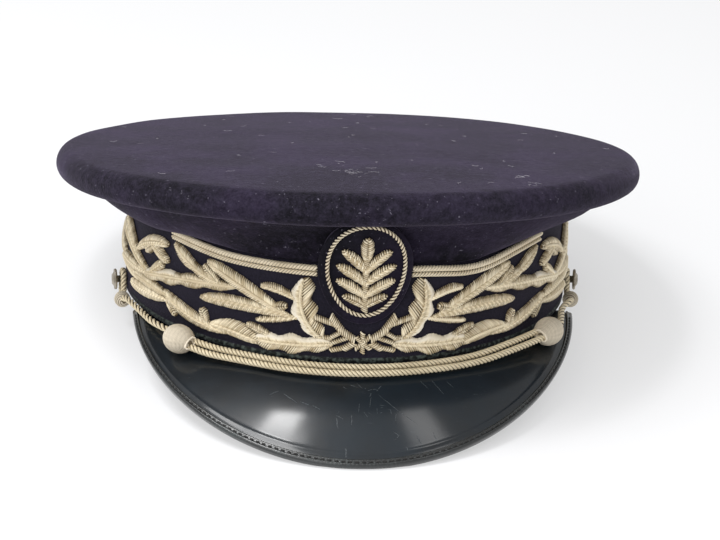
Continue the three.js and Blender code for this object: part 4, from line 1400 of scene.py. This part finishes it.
def wound_ball(name, node, size, phi, out, up, collar=None):
    """A ball of thread wound round the way the cord runs, over a firm core."""
    along, outward, high = ball_axes(phi)
    centre = band_point(phi, out, up)

    def surface(turn, across, inset):
        ring = (size.across - inset) * math.cos(across)
        return (
            centre + along * (size.along - inset) * math.sin(across)
            + outward * ring * math.cos(turn) + high * ring * math.sin(turn)
        )

    core = []
    for across in np.radians(np.linspace(-90, 90, WINDING.core_rings)):
        turns = np.linspace(0, math.tau, WINDING.core_sides, endpoint=False)
        core.append([surface(turn, across, size.thread * WINDING.core) for turn in turns])
    # The core shows only between the turns. It has no relief, so it is painted as shade.
    shell = Shell().loft(core, tone=0.3)
    steps = size.turns * WINDING.steps
    for start in (0.0, math.pi):
        winding = []
        for i in range(steps + 1):
            share = i / steps
            turn = share * size.turns * math.tau / 2 + start
            sway = size.tilt * math.sin(turn) * math.sin(math.pi * share)
            across = math.radians(WINDING.end * (2 * share - 1)) + sway
            winding.append(surface(turn, across, size.thread * WINDING.seat))
        shell.path(winding, thickness=size.thread, tone=0.75)
    if collar:
        mouth = mouth_turns(centre, along * collar.mouth, outward, high, collar.lean)
        shell.path(mouth, thickness=COLLAR.thread, tone=1.0)
    return belongs(threaded(name, shell, WINDING.sides, PALE_THREAD), "thread", node)


def mouth_turns(centre, ahead, outward, high, lean):
    """Turns of thread round the two cords where they enter a slide."""
    slope = math.radians(lean)
    long_way = outward * math.cos(slope) + high * math.sin(slope)
    short_way = high * math.cos(slope) - outward * math.sin(slope)
    path = []
    for turn in np.linspace(0.0, COLLAR.turns * math.tau, COLLAR.turns * COLLAR.steps):
        reach = COLLAR.along + COLLAR.thread * COLLAR.pitch * turn / math.tau
        ring = long_way * COLLAR.long * math.cos(turn) + short_way * COLLAR.short * math.sin(turn)
        path.append(centre + ahead * reach + ring)
    return path


def slides_and_knots():
    for name, slide in SLIDES.items():
        wound_ball(f"{name}_winding", name, SLIDE, math.radians(slide.angle), slide.out, slide.up, slide)
    for hand, loop in LOOPS.items():
        angle, out, up = knot_row(loop)
        wound_ball(f"knot_{hand}_winding", f"knot_{hand}", KNOT, loop.side * math.radians(angle), out, up)


def buttons():
    for hand, loop in LOOPS.items():
        phi = loop.side * math.radians(BUTTON.angle)
        along, outward, high = ball_axes(phi)
        centre = band_point(phi, 0.0, BUTTON.up - loop.drop)
        neck = loop.stand + BUTTON.neck
        top = neck + BUTTON.head
        radius = BUTTON.radius
        profile = [
            (0.0, GAP), (BUTTON.shank, GAP), (BUTTON.shank, neck), (radius - 0.5, neck + 0.1),
            (radius, neck + 0.4), (radius, neck + 0.9), (radius - 0.25, neck + 1.25),
            (radius - 0.75, neck + 1.3), (radius - 1.0, neck + 1.15), (radius - 1.3, neck + 1.35),
            (radius * 0.45, top - 0.15), (0.0, top),
        ]
        sections = []
        for turn in np.linspace(0, math.tau, BUTTON.sides, endpoint=False):
            spoke = along * math.cos(turn) + high * math.sin(turn)
            sections.append([centre + outward * rise + spoke * reach for reach, rise in profile])
        piece = skinned(f"button_{hand}_turned", Shell().loft(sections, ring=True), BUTTON_METAL)
        belongs(piece, "button", f"button_{hand}")


# Stage, light and camera


def floor():
    mesh = bpy.data.meshes.new("floor")
    half = FLOOR_HALF
    corners = [(-half, -half, 0), (half, -half, 0), (half, half, 0), (-half, half, 0)]
    mesh.from_pydata(corners, [], [(0, 1, 2, 3)])
    placed("floor", mesh, FLOOR)


def lights():
    world = bpy.data.worlds.new("white room")
    world.use_nodes = True
    background = world.node_tree.nodes["Background"]
    background.inputs["Color"].default_value = (1.0, 1.0, 1.0, 1.0)
    background.inputs["Strength"].default_value = ROOM_LIGHT
    bpy.context.scene.world = world
    for box in SOFTBOXES:
        lamp = bpy.data.lights.new(box.name, "AREA")
        lamp.shape = "RECTANGLE"
        lamp.size, lamp.size_y = box.size
        lamp.energy = box.power
        holder = bpy.data.objects.new(box.name, lamp)
        holder.location = box.place
        holder.rotation_euler = [math.radians(angle) for angle in box.turn]
        bpy.context.scene.collection.objects.link(holder)


def camera():
    azimuth, elevation, roll = (math.radians(a) for a in (VIEW.azimuth, VIEW.elevation, VIEW.roll))
    level = Vector((math.cos(azimuth), math.sin(azimuth), 0.0))
    ahead = Vector((-math.sin(azimuth), math.cos(azimuth), 0.0))
    back = Vector((0.0, 0.0, 1.0)) * math.sin(elevation) - ahead * math.cos(elevation)
    high = back.cross(level)
    right = level * math.cos(roll) + high * math.sin(roll)
    up = high * math.cos(roll) - level * math.sin(roll)
    centre = Vector((0.0, 0.0, VIEW.centre_up))
    place = Vector(to_frame(centre + back * VIEW.distance))
    aim = Vector(to_frame(centre + right * VIEW.aim_right + up * VIEW.aim_up))
    away = (place - aim).normalized()
    side = Vector(to_frame(up) - to_frame((0.0, 0.0, 0.0))).cross(away).normalized()
    rows = Matrix((side, away.cross(side), away)).transposed()
    eye = bpy.data.cameras.new("camera")
    eye.lens = VIEW.lens
    eye.sensor_width = VIEW.sensor
    holder = bpy.data.objects.new("camera", eye)
    holder.matrix_world = Matrix.Translation(place) @ rows.to_4x4()
    bpy.context.scene.collection.objects.link(holder)
    bpy.context.scene.camera = holder


camera()
lights()
floor()
bpy.context.scene.view_settings.view_transform = "Standard"
crown_top()
crown_side()
crown_lint()
band()
badge_pad()
band_ropes()
badge_rope()
embroidery()
peak()
peak_binding()
peak_marks()
chin_cords()
slides_and_knots()
buttons()
